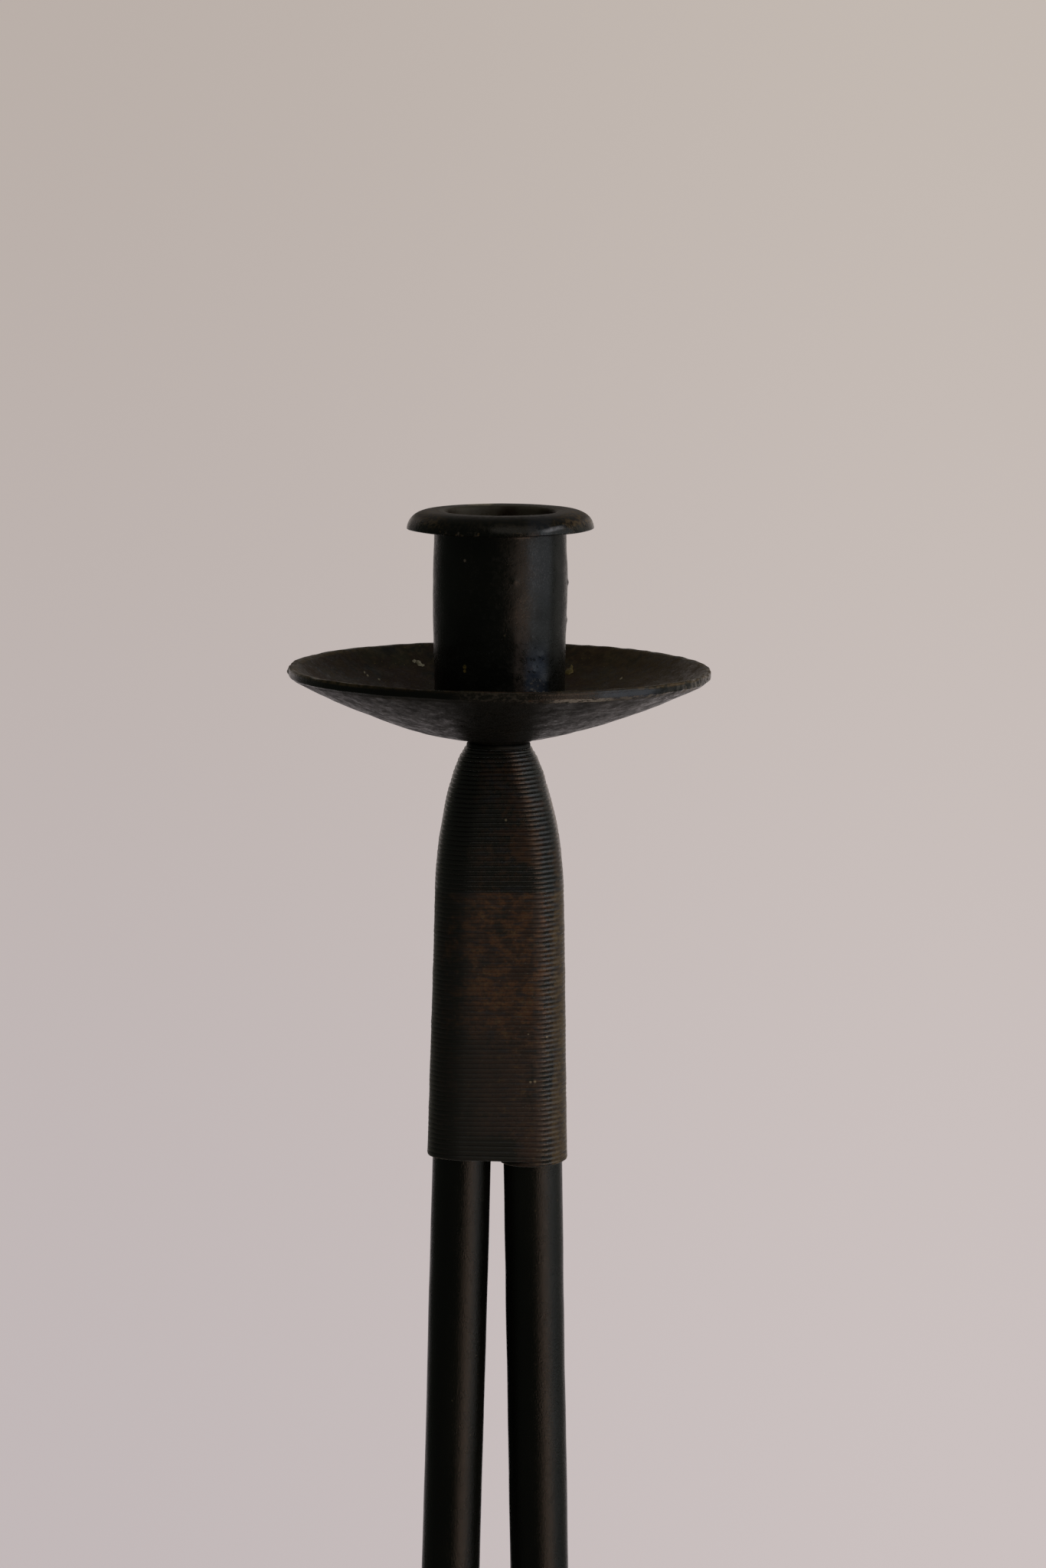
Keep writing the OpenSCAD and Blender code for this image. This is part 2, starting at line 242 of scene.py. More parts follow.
class Finish:
    """A material whose nodes read the place on the object, in metres."""

    def __init__(self, name):
        self.material = bpy.data.materials.new(name)
        self.material.use_nodes = True
        self.tree = self.material.node_tree
        self.surface = self.tree.nodes["Principled BSDF"]
        self.place = self.add("ShaderNodeTexCoord").outputs["Object"]
        split = self.add("ShaderNodeSeparateXYZ")
        self.link(self.place, split.inputs[0])
        self.x, self.y, self.z = split.outputs

    def add(self, kind, **settings):
        node = self.tree.nodes.new(kind)
        for key, value in settings.items():
            setattr(node, key, value)
        return node

    def link(self, value, socket):
        """Feeds a socket with another node's output, or sets it."""
        if isinstance(value, bpy.types.NodeSocket):
            self.tree.links.new(value, socket)
        elif isinstance(value, tuple) and len(value) == 3 and socket.type == "RGBA":
            socket.default_value = (*value, 1.0)
        else:
            socket.default_value = value

    def math(self, operation, a, b=0.0):
        node = self.add("ShaderNodeMath", operation=operation)
        self.link(a, node.inputs[0])
        self.link(b, node.inputs[1])
        return node.outputs[0]

    def lumps(self, kind, size, stretch, at, turn):
        """A texture node whose features have about that size, stretched and turned in place."""
        frame_of = self.add("ShaderNodeMapping", vector_type="TEXTURE")
        self.link(self.place, frame_of.inputs["Vector"])
        frame_of.inputs["Location"].default_value = at
        frame_of.inputs["Rotation"].default_value = turn
        frame_of.inputs["Scale"].default_value = [size * s for s in stretch]
        node = self.add(kind)
        self.link(frame_of.outputs[0], node.inputs["Vector"])
        node.inputs["Scale"].default_value = 1.0
        return node

    def noise(self, size, stretch=(1.0, 1.0, 1.0), detail=3.0, at=(0.0, 0.0, 0.0),
              turn=(0.0, 0.0, 0.0), rough=0.5):
        """Soft noise from 0 to 1."""
        node = self.lumps("ShaderNodeTexNoise", size, stretch, at, turn)
        node.inputs["Detail"].default_value = detail
        node.inputs["Roughness"].default_value = rough
        return node.outputs["Fac"]

    def cracks(self, size, width, at=(0.0, 0.0, 0.0)):
        """1 on a net of fine lines and 0 between them. The width is a share of the size."""
        node = self.lumps("ShaderNodeTexVoronoi", size, (1.0, 1.0, 1.0), at, (0.0, 0.0, 0.0))
        node.feature = "DISTANCE_TO_EDGE"
        return self.rise(node.outputs["Distance"], 0.0, width, 1.0, 0.0)

    def dots(self, size, radius, at=(0.0, 0.0, 0.0)):
        """1 on scattered round dots and 0 round them. The radius is a share of the size."""
        node = self.lumps("ShaderNodeTexVoronoi", size, (1.0, 1.0, 1.0), at, (0.0, 0.0, 0.0))
        return self.rise(node.outputs["Distance"], radius * 0.5, radius, 1.0, 0.0)

    def both(self, *shares):
        """All the shares multiplied together."""
        product = shares[0]
        for share in shares[1:]:
            product = self.math("MULTIPLY", product, share)
        return product

    def total(self, *parts):
        """The sum of values, each with its weight."""
        amount = self.both(*parts[0])
        for part in parts[1:]:
            amount = self.math("ADD", amount, self.both(*part))
        return amount

    def within(self, value, start, stop, soft):
        """1 from start to stop, and 0 further away than soft."""
        return self.both(self.rise(value, start - soft, start),
                         self.rise(value, stop, stop + soft, 1.0, 0.0))

    def far_out(self):
        """Distance from the axis."""
        square = self.math("ADD", self.both(self.x, self.x), self.both(self.y, self.y))
        return self.math("SQRT", square)

    def rise(self, value, start, stop, low=0.0, high=1.0):
        """low before start and high after stop, with a smooth change between them."""
        node = self.add("ShaderNodeMapRange", interpolation_type="SMOOTHSTEP")
        self.link(value, node.inputs["Value"])
        for key, number in (("From Min", start), ("From Max", stop),
                            ("To Min", low), ("To Max", high)):
            node.inputs[key].default_value = number
        return node.outputs[0]

    def spot(self, centre, radius, soft=0.5):
        """1 near a place on the object and 0 outside the radius."""
        node = self.add("ShaderNodeVectorMath", operation="DISTANCE")
        self.link(self.place, node.inputs[0])
        node.inputs[1].default_value = centre
        return self.rise(node.outputs["Value"], radius * soft, radius, 1.0, 0.0)

    def mix(self, share, a, b):
        """Colour a, giving way to colour b as share goes to 1."""
        node = self.add("ShaderNodeMix", data_type="RGBA")
        self.link(share, node.inputs[0])
        self.link(a, node.inputs[6])
        self.link(b, node.inputs[7])
        return node.outputs[2]

    def bump(self, height, depth):
        """Small relief in the shading, as deep as depth metres."""
        node = self.add("ShaderNodeBump")
        self.link(height, node.inputs["Height"])
        node.inputs["Distance"].default_value = depth
        node.inputs["Strength"].default_value = 1.0
        self.link(node.outputs[0], self.surface.inputs["Normal"])

    def done(self, colour, roughness, gloss, metal=0.0):
        self.link(colour, self.surface.inputs["Base Color"])
        self.link(roughness, self.surface.inputs["Roughness"])
        self.surface.inputs["Specular IOR Level"].default_value = gloss
        self.link(metal, self.surface.inputs["Metallic"])
        return self.material


SOOT_AND_SHADE = (0.0030, 0.0036, 0.0026)
IRON_BLACK = (0.0062, 0.0066, 0.0052)
GREY_MOTTLE_AND_SHEEN = (0.022, 0.022, 0.021)
PAINTED_BLUE_SHEEN = (0.020, 0.025, 0.036)
FOOT_BLUE = (0.034, 0.046, 0.074)
PAINTED_RIM_SHEEN = (0.045, 0.053, 0.070)
SCRATCH_BLUE = (0.070, 0.074, 0.086)
PAINTED_BROWN_REFLECTION = (0.036, 0.028, 0.025)
PALE_STEEL_AND_GLINT = (0.18, 0.165, 0.145)
PAINTED_GLEAM_BLUE = (0.22, 0.235, 0.27)
CHIP_WHITE = (0.34, 0.32, 0.29)
PATINA_BROWN = (0.030, 0.016, 0.008)
PATINA_RED = (0.034, 0.014, 0.008)
PATINA_OLIVE = (0.028, 0.022, 0.009)
PALE_PATINA_AND_LIGHT = (0.105, 0.072, 0.036)
DUST = (0.055, 0.048, 0.030)
PALE_DUST_AND_LIGHT = (0.105, 0.092, 0.070)
GREY_WEAR_AND_REFLECTION = (0.056, 0.050, 0.042)
WIRE_BLACK = (0.0080, 0.0092, 0.0072)
WIRE_BLUE = (0.016, 0.020, 0.030)
RUST_DARK = (0.030, 0.015, 0.009)
RUST_PLUM = (0.042, 0.027, 0.022)
RUST_ORANGE = (0.098, 0.043, 0.016)
OCHRE_RUST_AND_LIGHT = (0.115, 0.078, 0.032)
WAX_CREAM = (0.46, 0.40, 0.28)
WAX_OCHRE = (0.20, 0.15, 0.045)


# Flecks on the cup: degrees round from the front to the right, height and radius in mm, colour
CUP_FLECKS = [(-32, 1069.3, 0.55, WAX_OCHRE), (-32, 1068.5, 0.45, WAX_OCHRE), (-32, 1090.9, 0.4, PALE_STEEL_AND_GLINT),
              (-8, 1083.6, 0.35, DUST), (-26, 1081.0, 0.3, DUST), (4, 1076.0, 0.3, DUST),
              (-166, 1100.2, 2.2, WAX_CREAM), (-156, 1100.2, 1.8, WAX_CREAM)]


def cup_iron():
    """Waxed near-black iron, scratched blue-grey at the front right under a painted blue sheen, with a painted
    brown reflection beside it, painted highlights at the foot and lip, and a brown worn lip.
    """
    f = Finish("cup_iron")
    broad = f.noise(7 * MM, detail=4)
    fine = f.noise(0.9 * MM, detail=6, at=(0, 2, 0))
    grain = f.noise(0.28 * MM, detail=3)
    crackle = f.cracks(0.8 * MM, 0.07)
    colour = f.mix(f.rise(broad, 0.42, 0.64), SOOT_AND_SHADE, IRON_BLACK)
    colour = f.mix(f.both(f.rise(fine, 0.52, 0.72), 0.3), colour, GREY_MOTTLE_AND_SHEEN)
    front = f.rise(f.y, 1 * MM, -3 * MM)

    # Blue-grey scratches below the lip, towards the front right; the rubbed zone also carries a painted blue sheen
    # where the window light would fall
    rubbed = f.both(f.within(f.x, 6.2 * MM, 9.4 * MM, 1.4 * MM), front)
    upper = f.within(f.z, 1086.5 * MM, 1094 * MM, 3 * MM)
    lines = f.noise(0.32 * MM, stretch=(1, 1, 5), detail=3, turn=(0.5, 0.3, 0.0))
    cross = f.noise(0.36 * MM, stretch=(1, 1, 4), detail=3, turn=(-0.7, -0.4, 0.0), at=(0, 0, 3))
    scratched = f.math("MAXIMUM", f.rise(lines, 0.55, 0.68), f.rise(cross, 0.57, 0.70))
    # Painted sheen: a broad blue tint over the rubbed zone, stronger higher up
    colour = f.mix(f.both(rubbed, f.rise(f.z, 1078 * MM, 1088 * MM, 0.15, 0.5)), colour, PAINTED_BLUE_SHEEN)
    colour = f.mix(f.both(rubbed, upper, scratched, 0.6), colour, SCRATCH_BLUE)
    # Painted reflection: a brown strip down the front, left of the sheen, stands in for a warm lamp mirrored in
    # the iron
    brown = f.both(f.within(f.x, 3.6 * MM, 5.4 * MM, 1.2 * MM), front, f.rise(f.z, 1084 * MM, 1074 * MM))
    colour = f.mix(f.both(brown, f.rise(fine, 0.3, 0.6)), colour, PAINTED_BROWN_REFLECTION)

    # The braze at the foot is blue between black pits; the pale glints near its bottom are painted highlights
    foot = f.both(f.within(f.x, 6.2 * MM, 8.4 * MM, 1.8 * MM), front,
                  f.rise(f.z, 1075.5 * MM, 1069 * MM), f.rise(broad, 0.35, 0.55, 0.6, 1.0))
    pits = f.rise(f.noise(1.0 * MM, detail=3, at=(0, 0, 1)), 0.60, 0.66)
    painted_glints = f.rise(f.noise(0.7 * MM, detail=3, at=(1, 0, 0)), 0.58, 0.66)
    colour = f.mix(foot, colour, FOOT_BLUE)
    colour = f.mix(f.both(foot, painted_glints, f.rise(f.z, 1068 * MM, 1066.5 * MM)), colour, PALE_STEEL_AND_GLINT)
    colour = f.mix(f.both(foot, pits), colour, SOOT_AND_SHADE)
    specks = f.dots(0.75 * MM, 0.15, at=(3, 0, 0))
    colour = f.mix(f.both(specks, f.rise(broad, 0.5, 0.62, 0.0, 0.5)), colour, SCRATCH_BLUE)
    for from_front, height, radius, tint in CUP_FLECKS:
        turn = radians(from_front)
        at = (CUP_R * sin(turn), -CUP_R * cos(turn), height * MM)
        colour = f.mix(f.both(f.spot(at, radius * MM), f.rise(grain, 0.3, 0.5)), colour, tint)

    # The lip is worn brown and olive at its ends, and inside the mouth; painted light there is marked below
    on_lip = f.rise(f.z, LIP_UNDER_Z + 0.4 * MM, LIP_UNDER_Z + 2.2 * MM)
    ends = f.rise(f.both(f.x, f.x), (9 * MM) ** 2, (15 * MM) ** 2, 0.08, 1.0)
    worn = f.both(on_lip, ends, f.rise(fine, 0.32, 0.6))
    colour = f.mix(worn, colour, f.mix(f.rise(fine, 0.42, 0.6), PATINA_BROWN, PALE_PATINA_AND_LIGHT))
    # Painted highlight: a thin blue-white gleam along the lip's lower front right edge
    slanted = f.total((f.z, 1.0), (f.x, -0.15))
    gleam_z = LIP_UNDER_Z + 1.25 * MM - 0.15 * 10.5 * MM
    painted_gleam = f.both(f.within(f.x, 10 * MM, 11.4 * MM, 2 * MM), front,
                   f.within(slanted, gleam_z - 0.1 * MM, gleam_z + 0.1 * MM, 0.5 * MM))
    colour = f.mix(f.both(painted_gleam, f.rise(fine, 0.3, 0.6, 0.5, 1.0)), colour, PAINTED_GLEAM_BLUE)
    # Inside the mouth: pale dust, painted lighter at the sides and darker in the middle as shade
    inside = f.rise(f.far_out(), BORE_R + 0.7 * MM, BORE_R + 0.2 * MM)
    sides = f.rise(f.both(f.x, f.x), (3 * MM) ** 2, (8 * MM) ** 2, 0.6, 1.0)
    inside = f.both(inside, sides, f.rise(f.z, LIP_Z - 12 * MM, LIP_Z - 2 * MM))
    colour = f.mix(inside, colour, f.mix(f.rise(broad, 0.36, 0.62), PATINA_BROWN, PALE_DUST_AND_LIGHT))
    # A pale band round the mouth's top edge: partly dust, partly a painted highlight
    mouth_edge = f.both(f.within(f.far_out(), BORE_R + 0.5 * MM, BORE_R + 1.2 * MM, 0.4 * MM),
                        f.rise(f.z, LIP_Z - 1.4 * MM, LIP_Z - 0.7 * MM), f.rise(fine, 0.3, 0.6, 0.3, 0.8))
    colour = f.mix(mouth_edge, colour, PALE_DUST_AND_LIGHT)
    under_lip = f.both(f.within(f.z, LIP_UNDER_Z - 0.2 * MM, LIP_UNDER_Z + 0.5 * MM, 0.4 * MM),
                       f.rise(f.noise(1.0 * MM, detail=4, at=(0, 0, 6)), 0.56, 0.68))
    colour = f.mix(f.both(under_lip, 0.5), colour, f.mix(f.rise(fine, 0.4, 0.6), OCHRE_RUST_AND_LIGHT, PALE_STEEL_AND_GLINT))

    relief = f.total((fine, 0.5), (grain, 0.25), (crackle, -0.15), (f.both(foot, pits), -2.0))
    f.bump(relief, 0.06 * MM)
    level = f.rise(f.z, LIP_Z - 1.6 * MM, LIP_Z - 0.5 * MM)
    edge = f.within(f.z, LIP_UNDER_Z + 0.2 * MM, LIP_UNDER_Z + 1.4 * MM, 0.4 * MM)
    rough = f.total((f.rise(fine, 0.35, 0.7, 0.26, 0.38), 1.0), (level, 0.3), (edge, -0.10))
    return f.done(colour, rough, gloss=0.30)


def braze():
    """Blackened braze, with bright flecks painted on its front as highlights."""
    f = Finish("braze")
    lumps = f.noise(1.4 * MM, detail=5)
    grain = f.noise(0.4 * MM, detail=4)
    colour = f.mix(f.rise(lumps, 0.45, 0.7), SOOT_AND_SHADE, DUST)
    # Painted highlights: pale flecks on the front only
    bright = f.both(f.rise(grain, 0.60, 0.68), f.rise(f.y, -9 * MM, -12 * MM))
    colour = f.mix(bright, colour, PALE_STEEL_AND_GLINT)
    f.bump(grain, 0.12 * MM)
    return f.done(colour, f.rise(grain, 0.3, 0.7, 0.3, 0.5), gloss=0.4)


def pan_iron():
    """Brown and olive patina inside the pan, painted paler to the right as light, a black rim with rubbed edges
    and a painted sheen at the right, speckled grey below with a painted reflection and shade.
    """
    f = Finish("pan_iron")
    broad = f.noise(12 * MM, detail=4)
    patch = f.noise(4.5 * MM, detail=5, at=(0, 4, 0))
    mottle = f.noise(1.4 * MM, detail=6, at=(6, 0, 0))
    grain = f.noise(0.35 * MM, detail=4)
    far = f.far_out()

    # Inside: patches of red-brown, brown and olive over black, painted paler to the right as light
    inside = f.mix(f.rise(patch, 0.36, 0.56), IRON_BLACK, PATINA_BROWN)
    inside = f.mix(f.both(f.rise(broad, 0.48, 0.60), 0.8), inside, PATINA_RED)
    inside = f.mix(f.rise(f.noise(6 * MM, detail=4, at=(0, 0, 2)), 0.50, 0.66), inside, PATINA_OLIVE)
    inside = f.mix(f.both(f.rise(mottle, 0.48, 0.64), 0.35), inside, PALE_PATINA_AND_LIGHT)
    # Painted light: the bowl turns paler towards the right
    pale = f.both(f.rise(f.x, 2 * MM, 42 * MM, 0.0, 0.9), f.rise(mottle, 0.36, 0.58, 0.4, 1.0))
    inside = f.mix(pale, inside, PALE_PATINA_AND_LIGHT)
    specks = f.dots(1.5 * MM, 0.11, at=(0, 7, 0))
    inside = f.mix(f.both(specks, f.rise(broad, 0.40, 0.52)), inside, WAX_OCHRE)

    # Below: a fine grey speckle painted at the sides as a reflection of the floor, black in the middle as a
    # painted reflection of the dark bundle, and black stains painted thicker on the left as shade
    speckle = f.noise(0.5 * MM, detail=4, at=(0, 0, 9))
    sides = f.rise(f.both(f.x, f.x), (6 * MM) ** 2, (24 * MM) ** 2, 0.15, 1.0)
    below = f.mix(f.both(f.rise(speckle, 0.42, 0.60), sides), IRON_BLACK, GREY_WEAR_AND_REFLECTION)
    stains_and_shade = f.both(f.rise(patch, 0.40, 0.58), f.rise(f.x, 0.0, 25 * MM, 0.9, 0.5))
    below = f.mix(stains_and_shade, below, IRON_BLACK)
    reach = f.math("SQRT", f.math("ADD", f.math("POWER", f.math("SUBTRACT", far, PAN_ARC_X), 2.0),
                                  f.math("POWER", f.math("SUBTRACT", PAN_ARC_Z, f.z), 2.0)))
    middle = PAN_ARC_R - PAN_T / 2
    is_top = f.rise(reach, middle + 0.2 * MM, middle - 0.2 * MM)
    colour = f.mix(is_top, below, inside)

    # The rim: heights here follow the pan's droop
    z = f.total((f.z, 1.0), (f.both(f.x, f.x), RIM_SAG / PAN_R ** 2), (f.x, RIM_SKEW / PAN_R))
    z = f.math("ADD", z, BOWL_SAG)
    outer = f.rise(far, PAN_R - 1.0 * MM, PAN_R - 0.7 * MM)
    front = f.rise(f.y, 2 * MM, -6 * MM)
    face = f.both(outer, f.rise(z, RIM_LOW_Z - 0.2 * MM, RIM_LOW_Z), f.rise(z, RIM_TOP_Z, RIM_TOP_Z - 0.3 * MM))
    rub = f.noise(0.45 * MM, stretch=(1.8, 1.8, 1), detail=5, at=(0, 9, 0), rough=0.65)
    shell = f.mix(f.both(f.within(f.x, -6 * MM, 4 * MM, 4 * MM), front, f.rise(rub, 0.44, 0.66, 0.1, 0.8)),
                  SOOT_AND_SHADE, GREY_WEAR_AND_REFLECTION)
    # Painted sheen: the rim face turns lighter grey towards the right, and blue further right, where the window
    # would shine
    shell = f.mix(f.both(f.rise(f.x, 4 * MM, 18 * MM), f.rise(mottle, 0.38, 0.62, 0.1, 0.6)), shell, GREY_MOTTLE_AND_SHEEN)
    shell = f.mix(f.within(f.x, 22 * MM, 29 * MM, 4 * MM), shell, PAINTED_RIM_SHEEN)
    colour = f.mix(face, colour, shell)
    line = f.both(outer, front, f.rise(z, RIM_LOW_Z + 0.42 * MM, RIM_LOW_Z + 0.22 * MM))
    warm = f.both(f.within(f.x, 5 * MM, 14 * MM, 2 * MM), f.rise(rub, 0.42, 0.64), 0.6)
    colour = f.mix(f.both(line, warm), colour, f.mix(f.rise(mottle, 0.4, 0.55), RUST_ORANGE, PALE_STEEL_AND_GLINT))
    thin = f.both(outer, front, f.rise(z, RIM_LOW_Z + 0.36 * MM, RIM_LOW_Z + 0.2 * MM))
    white = f.both(f.within(f.x, 12 * MM, 21 * MM, 3 * MM), f.rise(rub, 0.36, 0.52))
    colour = f.mix(f.both(thin, white), colour, CHIP_WHITE)
    ragged = f.both(f.rise(f.x, 21 * MM, 26 * MM), f.rise(mottle, 0.42, 0.56))
    colour = f.mix(f.both(line, ragged), colour, PALE_STEEL_AND_GLINT)
    tip = f.both(f.rise(f.x, 33 * MM, 41 * MM), f.rise(far, PAN_R - 1.6 * MM, PAN_R - 0.9 * MM),
                 f.rise(mottle, 0.42, 0.58))
    colour = f.mix(f.both(tip, 0.7), colour, PALE_STEEL_AND_GLINT)
    top_edge = f.both(f.rise(z, RIM_TOP_Z - 0.7 * MM, RIM_TOP_Z - 0.35 * MM),
                      f.rise(far, PAN_R - 2.2 * MM, PAN_R - 1.4 * MM),
                      f.rise(f.both(f.x, f.x), (20 * MM) ** 2, (34 * MM) ** 2, 0.1, 1.0))
    colour = f.mix(top_edge, colour, f.mix(f.rise(mottle, 0.38, 0.58), PATINA_OLIVE, PALE_PATINA_AND_LIGHT))
    burr = f.spot((-PAN_R - 0.2 * MM, -0.5 * MM, RIM_TOP_Z - 1.8 * MM), 0.9 * MM)
    colour = f.mix(burr, colour, WAX_OCHRE)

    f.bump(f.total((f.both(mottle, is_top), 0.8), (grain, 0.35)), 0.11 * MM)
    matt = f.total((is_top, 0.20), (f.rise(patch, 0.36, 0.66), 0.10), (f.rise(mottle, 0.36, 0.62, 0.2, 1.2), 0.14),
                   (f.rise(f.x, 20 * MM, 36 * MM), -0.05))
    matt = f.both(f.math("SUBTRACT", 1.0, face), matt)
    return f.done(colour, f.math("ADD", f.rise(speckle, 0.35, 0.65, 0.22, 0.34), matt), gloss=0.30)


def worn_iron(name, tint):
    """Plain blackened iron for the small parts under and inside the cup."""
    f = Finish(name)
    mottle = f.noise(1.5 * MM, detail=5)
    grain = f.noise(0.35 * MM, detail=4)
    colour = f.mix(f.rise(mottle, 0.42, 0.65), SOOT_AND_SHADE, tint)
    f.bump(f.total((mottle, 0.7), (grain, 0.3)), 0.1 * MM)
    return f.done(colour, f.rise(mottle, 0.35, 0.7, 0.50, 0.65), gloss=0.3)


def rod_iron():
    """Smooth greenish-black iron, with a fine grain that sparkles where the light strikes it."""
    f = Finish("rod_iron")
    broad = f.noise(14 * MM, stretch=(1, 1, 3), detail=4)
    mottle = f.noise(1.8 * MM, stretch=(1, 1, 2), detail=5)
    grain = f.noise(0.24 * MM, stretch=(1, 1, 1.3), detail=3)
    colour = f.mix(f.rise(broad, 0.4, 0.66), SOOT_AND_SHADE, IRON_BLACK)
    pale = f.both(f.dots(2.4 * MM, 0.09, at=(0, 1, 0)), f.rise(broad, 0.48, 0.6))
    colour = f.mix(pale, colour, DUST)
    f.bump(f.total((mottle, 0.2), (grain, 0.8)), 0.11 * MM)
    return f.done(colour, f.rise(mottle, 0.35, 0.7, 0.20, 0.30), gloss=0.32)


RUST_TOP_Z = 1023.4 * MM
RUST_MID_Z = 992.0 * MM
# Patches of more and less rust on the front: place and radius in mm, and how much more
RUST_PATCHES = [((3, -14, 1039), 3.5, 0.12), ((6, -13, 1033), 5.0, 0.13), ((4, -14, 1008), 7.0, 0.06),
                ((0, -14, 1002), 6.5, 0.05), ((3, -14, 988), 3.0, 0.08), ((0, -15, 1016.6), 4.0, -0.08),
                ((9, -13, 1013.6), 3.5, -0.06), ((8, -13, 1004.5), 3.0, -0.07)]

# Pale flecks on the front: place and radius in mm
WIRE_FLECKS = [((6.7, -13.9, 984.6), 0.38), ((7.6, -13.8, 984.7), 0.42), ((6.2, -13.8, 994.4), 0.28),
               ((10, -13, 993.8), 0.32), ((1.4, -11.1, 1038.1), 0.4)]


def rusty_wire():
    """Black wire at the top and the left, under a fine crust of mottled rust lower down, with painted shade at the
    left and low middle, painted light at the right edge and a painted rim light at the left.
    """
    f = Finish("rusty_wire")
    turns = f.noise(5.5 * MM, stretch=(3.2, 3.2, 0.4), detail=5)
    patches = f.noise(7 * MM, detail=4, at=(2, 0, 0))
    fine = f.noise(1.1 * MM, detail=6, at=(0, 5, 0), rough=0.65)
    hue = f.noise(1.9 * MM, stretch=(1.3, 1.3, 0.8), detail=7, at=(4, 0, 0), rough=0.62)
    grain = f.noise(0.4 * MM, detail=4, rough=0.6)
    below = f.rise(f.z, RUST_TOP_Z + 0.3 * MM, RUST_TOP_Z - 0.3 * MM)
    lowest = f.rise(f.z, RUST_MID_Z + 8 * MM, RUST_MID_Z - 4 * MM)
    edge = f.rise(f.x, 9.5 * MM, 12 * MM)
    spread = f.total((turns, 0.30), (patches, 0.28), (fine, 0.42), (below, 0.10), (edge, 0.04))
    bare = f.both(f.rise(f.z, 975 * MM, 971 * MM), f.rise(f.x, 6 * MM, 0.0))
    corner = f.both(f.within(f.x, 9.6 * MM, 10.8 * MM, 1.0 * MM), f.rise(f.y, 0.0, -2 * MM))
    # Less rust towards the left as painted shade, less at the bottom left, and less on the rubbed corner
    spread = f.total((spread, 1.0), (f.rise(f.x, -4 * MM, -8 * MM), -0.10), (bare, -0.30), (corner, -0.07))
    for place, radius, amount in RUST_PATCHES:
        at = [value * MM for value in place]
        spread = f.total((spread, 1.0), (f.spot(at, radius * MM, 0.3), amount))
    rust = f.rise(spread, 0.46, 0.60)
    tint = f.mix(f.rise(hue, 0.43, 0.58), RUST_DARK, RUST_ORANGE)
    tint = f.mix(f.both(lowest, 0.8), tint, RUST_PLUM)
    # The right edge: partly ochre rust, partly painted light where the window falls
    ochre = f.math("MAXIMUM", f.both(edge, f.rise(hue, 0.42, 0.54, 0.3, 0.9)), f.rise(f.total((hue, 0.5), (fine, 0.5)), 0.54, 0.64, 0.0, 0.7))
    tint = f.mix(ochre, tint, OCHRE_RUST_AND_LIGHT)
    tint = f.mix(below, f.mix(0.6, tint, RUST_DARK), tint)
    colour = f.mix(rust, WIRE_BLACK, tint)

    # Plum and blue-black grains in the rust, and a few pale specks
    plum = f.rise(f.noise(0.9 * MM, detail=5, at=(7, 0, 0), rough=0.6), 0.50, 0.64)
    colour = f.mix(f.both(plum, rust, 0.5), colour, RUST_PLUM)
    blue = f.rise(f.noise(1.3 * MM, stretch=(2.5, 2.5, 0.5), detail=5, at=(0, 8, 0)), 0.55, 0.65)
    colour = f.mix(f.both(blue, 0.6), colour, WIRE_BLUE)
    specks = f.dots(1.5 * MM, 0.12, at=(1, 6, 0))
    colour = f.mix(f.both(specks, below, 0.4), colour, PALE_STEEL_AND_GLINT)

    # Painted shade: the left side is blacker, and low down so is the middle, as if lit from the right
    above = f.math("SUBTRACT", 1.0, below)
    painted_shade = f.total((f.rise(f.x, -1 * MM, -8 * MM), 0.55), (f.both(above, f.rise(f.x, 8 * MM, -4 * MM)), 0.4),
                   (f.both(lowest, f.rise(f.x, 6 * MM, -1 * MM)), 0.45))
    colour = f.mix(f.math("MINIMUM", painted_shade, 0.8), colour, SOOT_AND_SHADE)
    colour = f.mix(f.rise(grain, 0.50, 0.66, 0.0, 0.6), colour, SOOT_AND_SHADE)
    for place, radius in WIRE_FLECKS:
        at = [value * MM for value in place]
        colour = f.mix(f.both(f.spot(at, radius * MM, 0.2), 0.7), colour, WAX_CREAM)

    # A pale band painted on its left side as rim light, and a rubbed corner at the front right
    facing = f.add("ShaderNodeSeparateXYZ")
    f.link(f.add("ShaderNodeNewGeometry").outputs["Normal"], facing.inputs[0])
    painted_rim_light = f.both(f.rise(facing.outputs[0], -0.72, -0.94), f.rise(fine, 0.35, 0.6, 0.45, 1.0))
    colour = f.mix(painted_rim_light, colour, PALE_DUST_AND_LIGHT)
    f.bump(f.total((grain, 0.6), (fine, 0.4)), 0.07 * MM)
    crust = f.total((f.rise(f.x, -2 * MM, 5 * MM, 0.44, 0.34), 1.0), (corner, -0.18))
    rough = f.total((crust, below), (above, 0.22), (painted_rim_light, 0.15), (rust, 0.04), (grain, 0.08))
    f.surface.inputs["Sheen Weight"].default_value = 0.8
    f.surface.inputs["Sheen Roughness"].default_value = 0.3
    return f.done(colour, rough, gloss=0.55)


def wax(name, tint):
    """Old candle wax."""
    f = Finish(name)
    grain = f.noise(0.5 * MM, detail=4)
    colour = f.mix(f.rise(grain, 0.35, 0.65), tuple(c * 0.6 for c in tint), tint)
    f.bump(grain, 0.05 * MM)
    return f.done(colour, 0.5, gloss=0.4)


# The cup

def cup_wall_r(share):
    """Outer radius of the cup's wall at that share of its height below the lip."""
    return CUP_R + CUP_BELLY * (1 - np.cos(2 * pi * share ** 0.63)) / 2


def pan_top(r):
    """Height of the pan's upper face at radius r."""
    reach = np.maximum((PAN_ARC_R - PAN_T) ** 2 - (r - PAN_ARC_X) ** 2, 0)
    return np.where(r < PAN_SEAT_R, PAN_FLOOR_Z, PAN_ARC_Z - np.sqrt(reach))


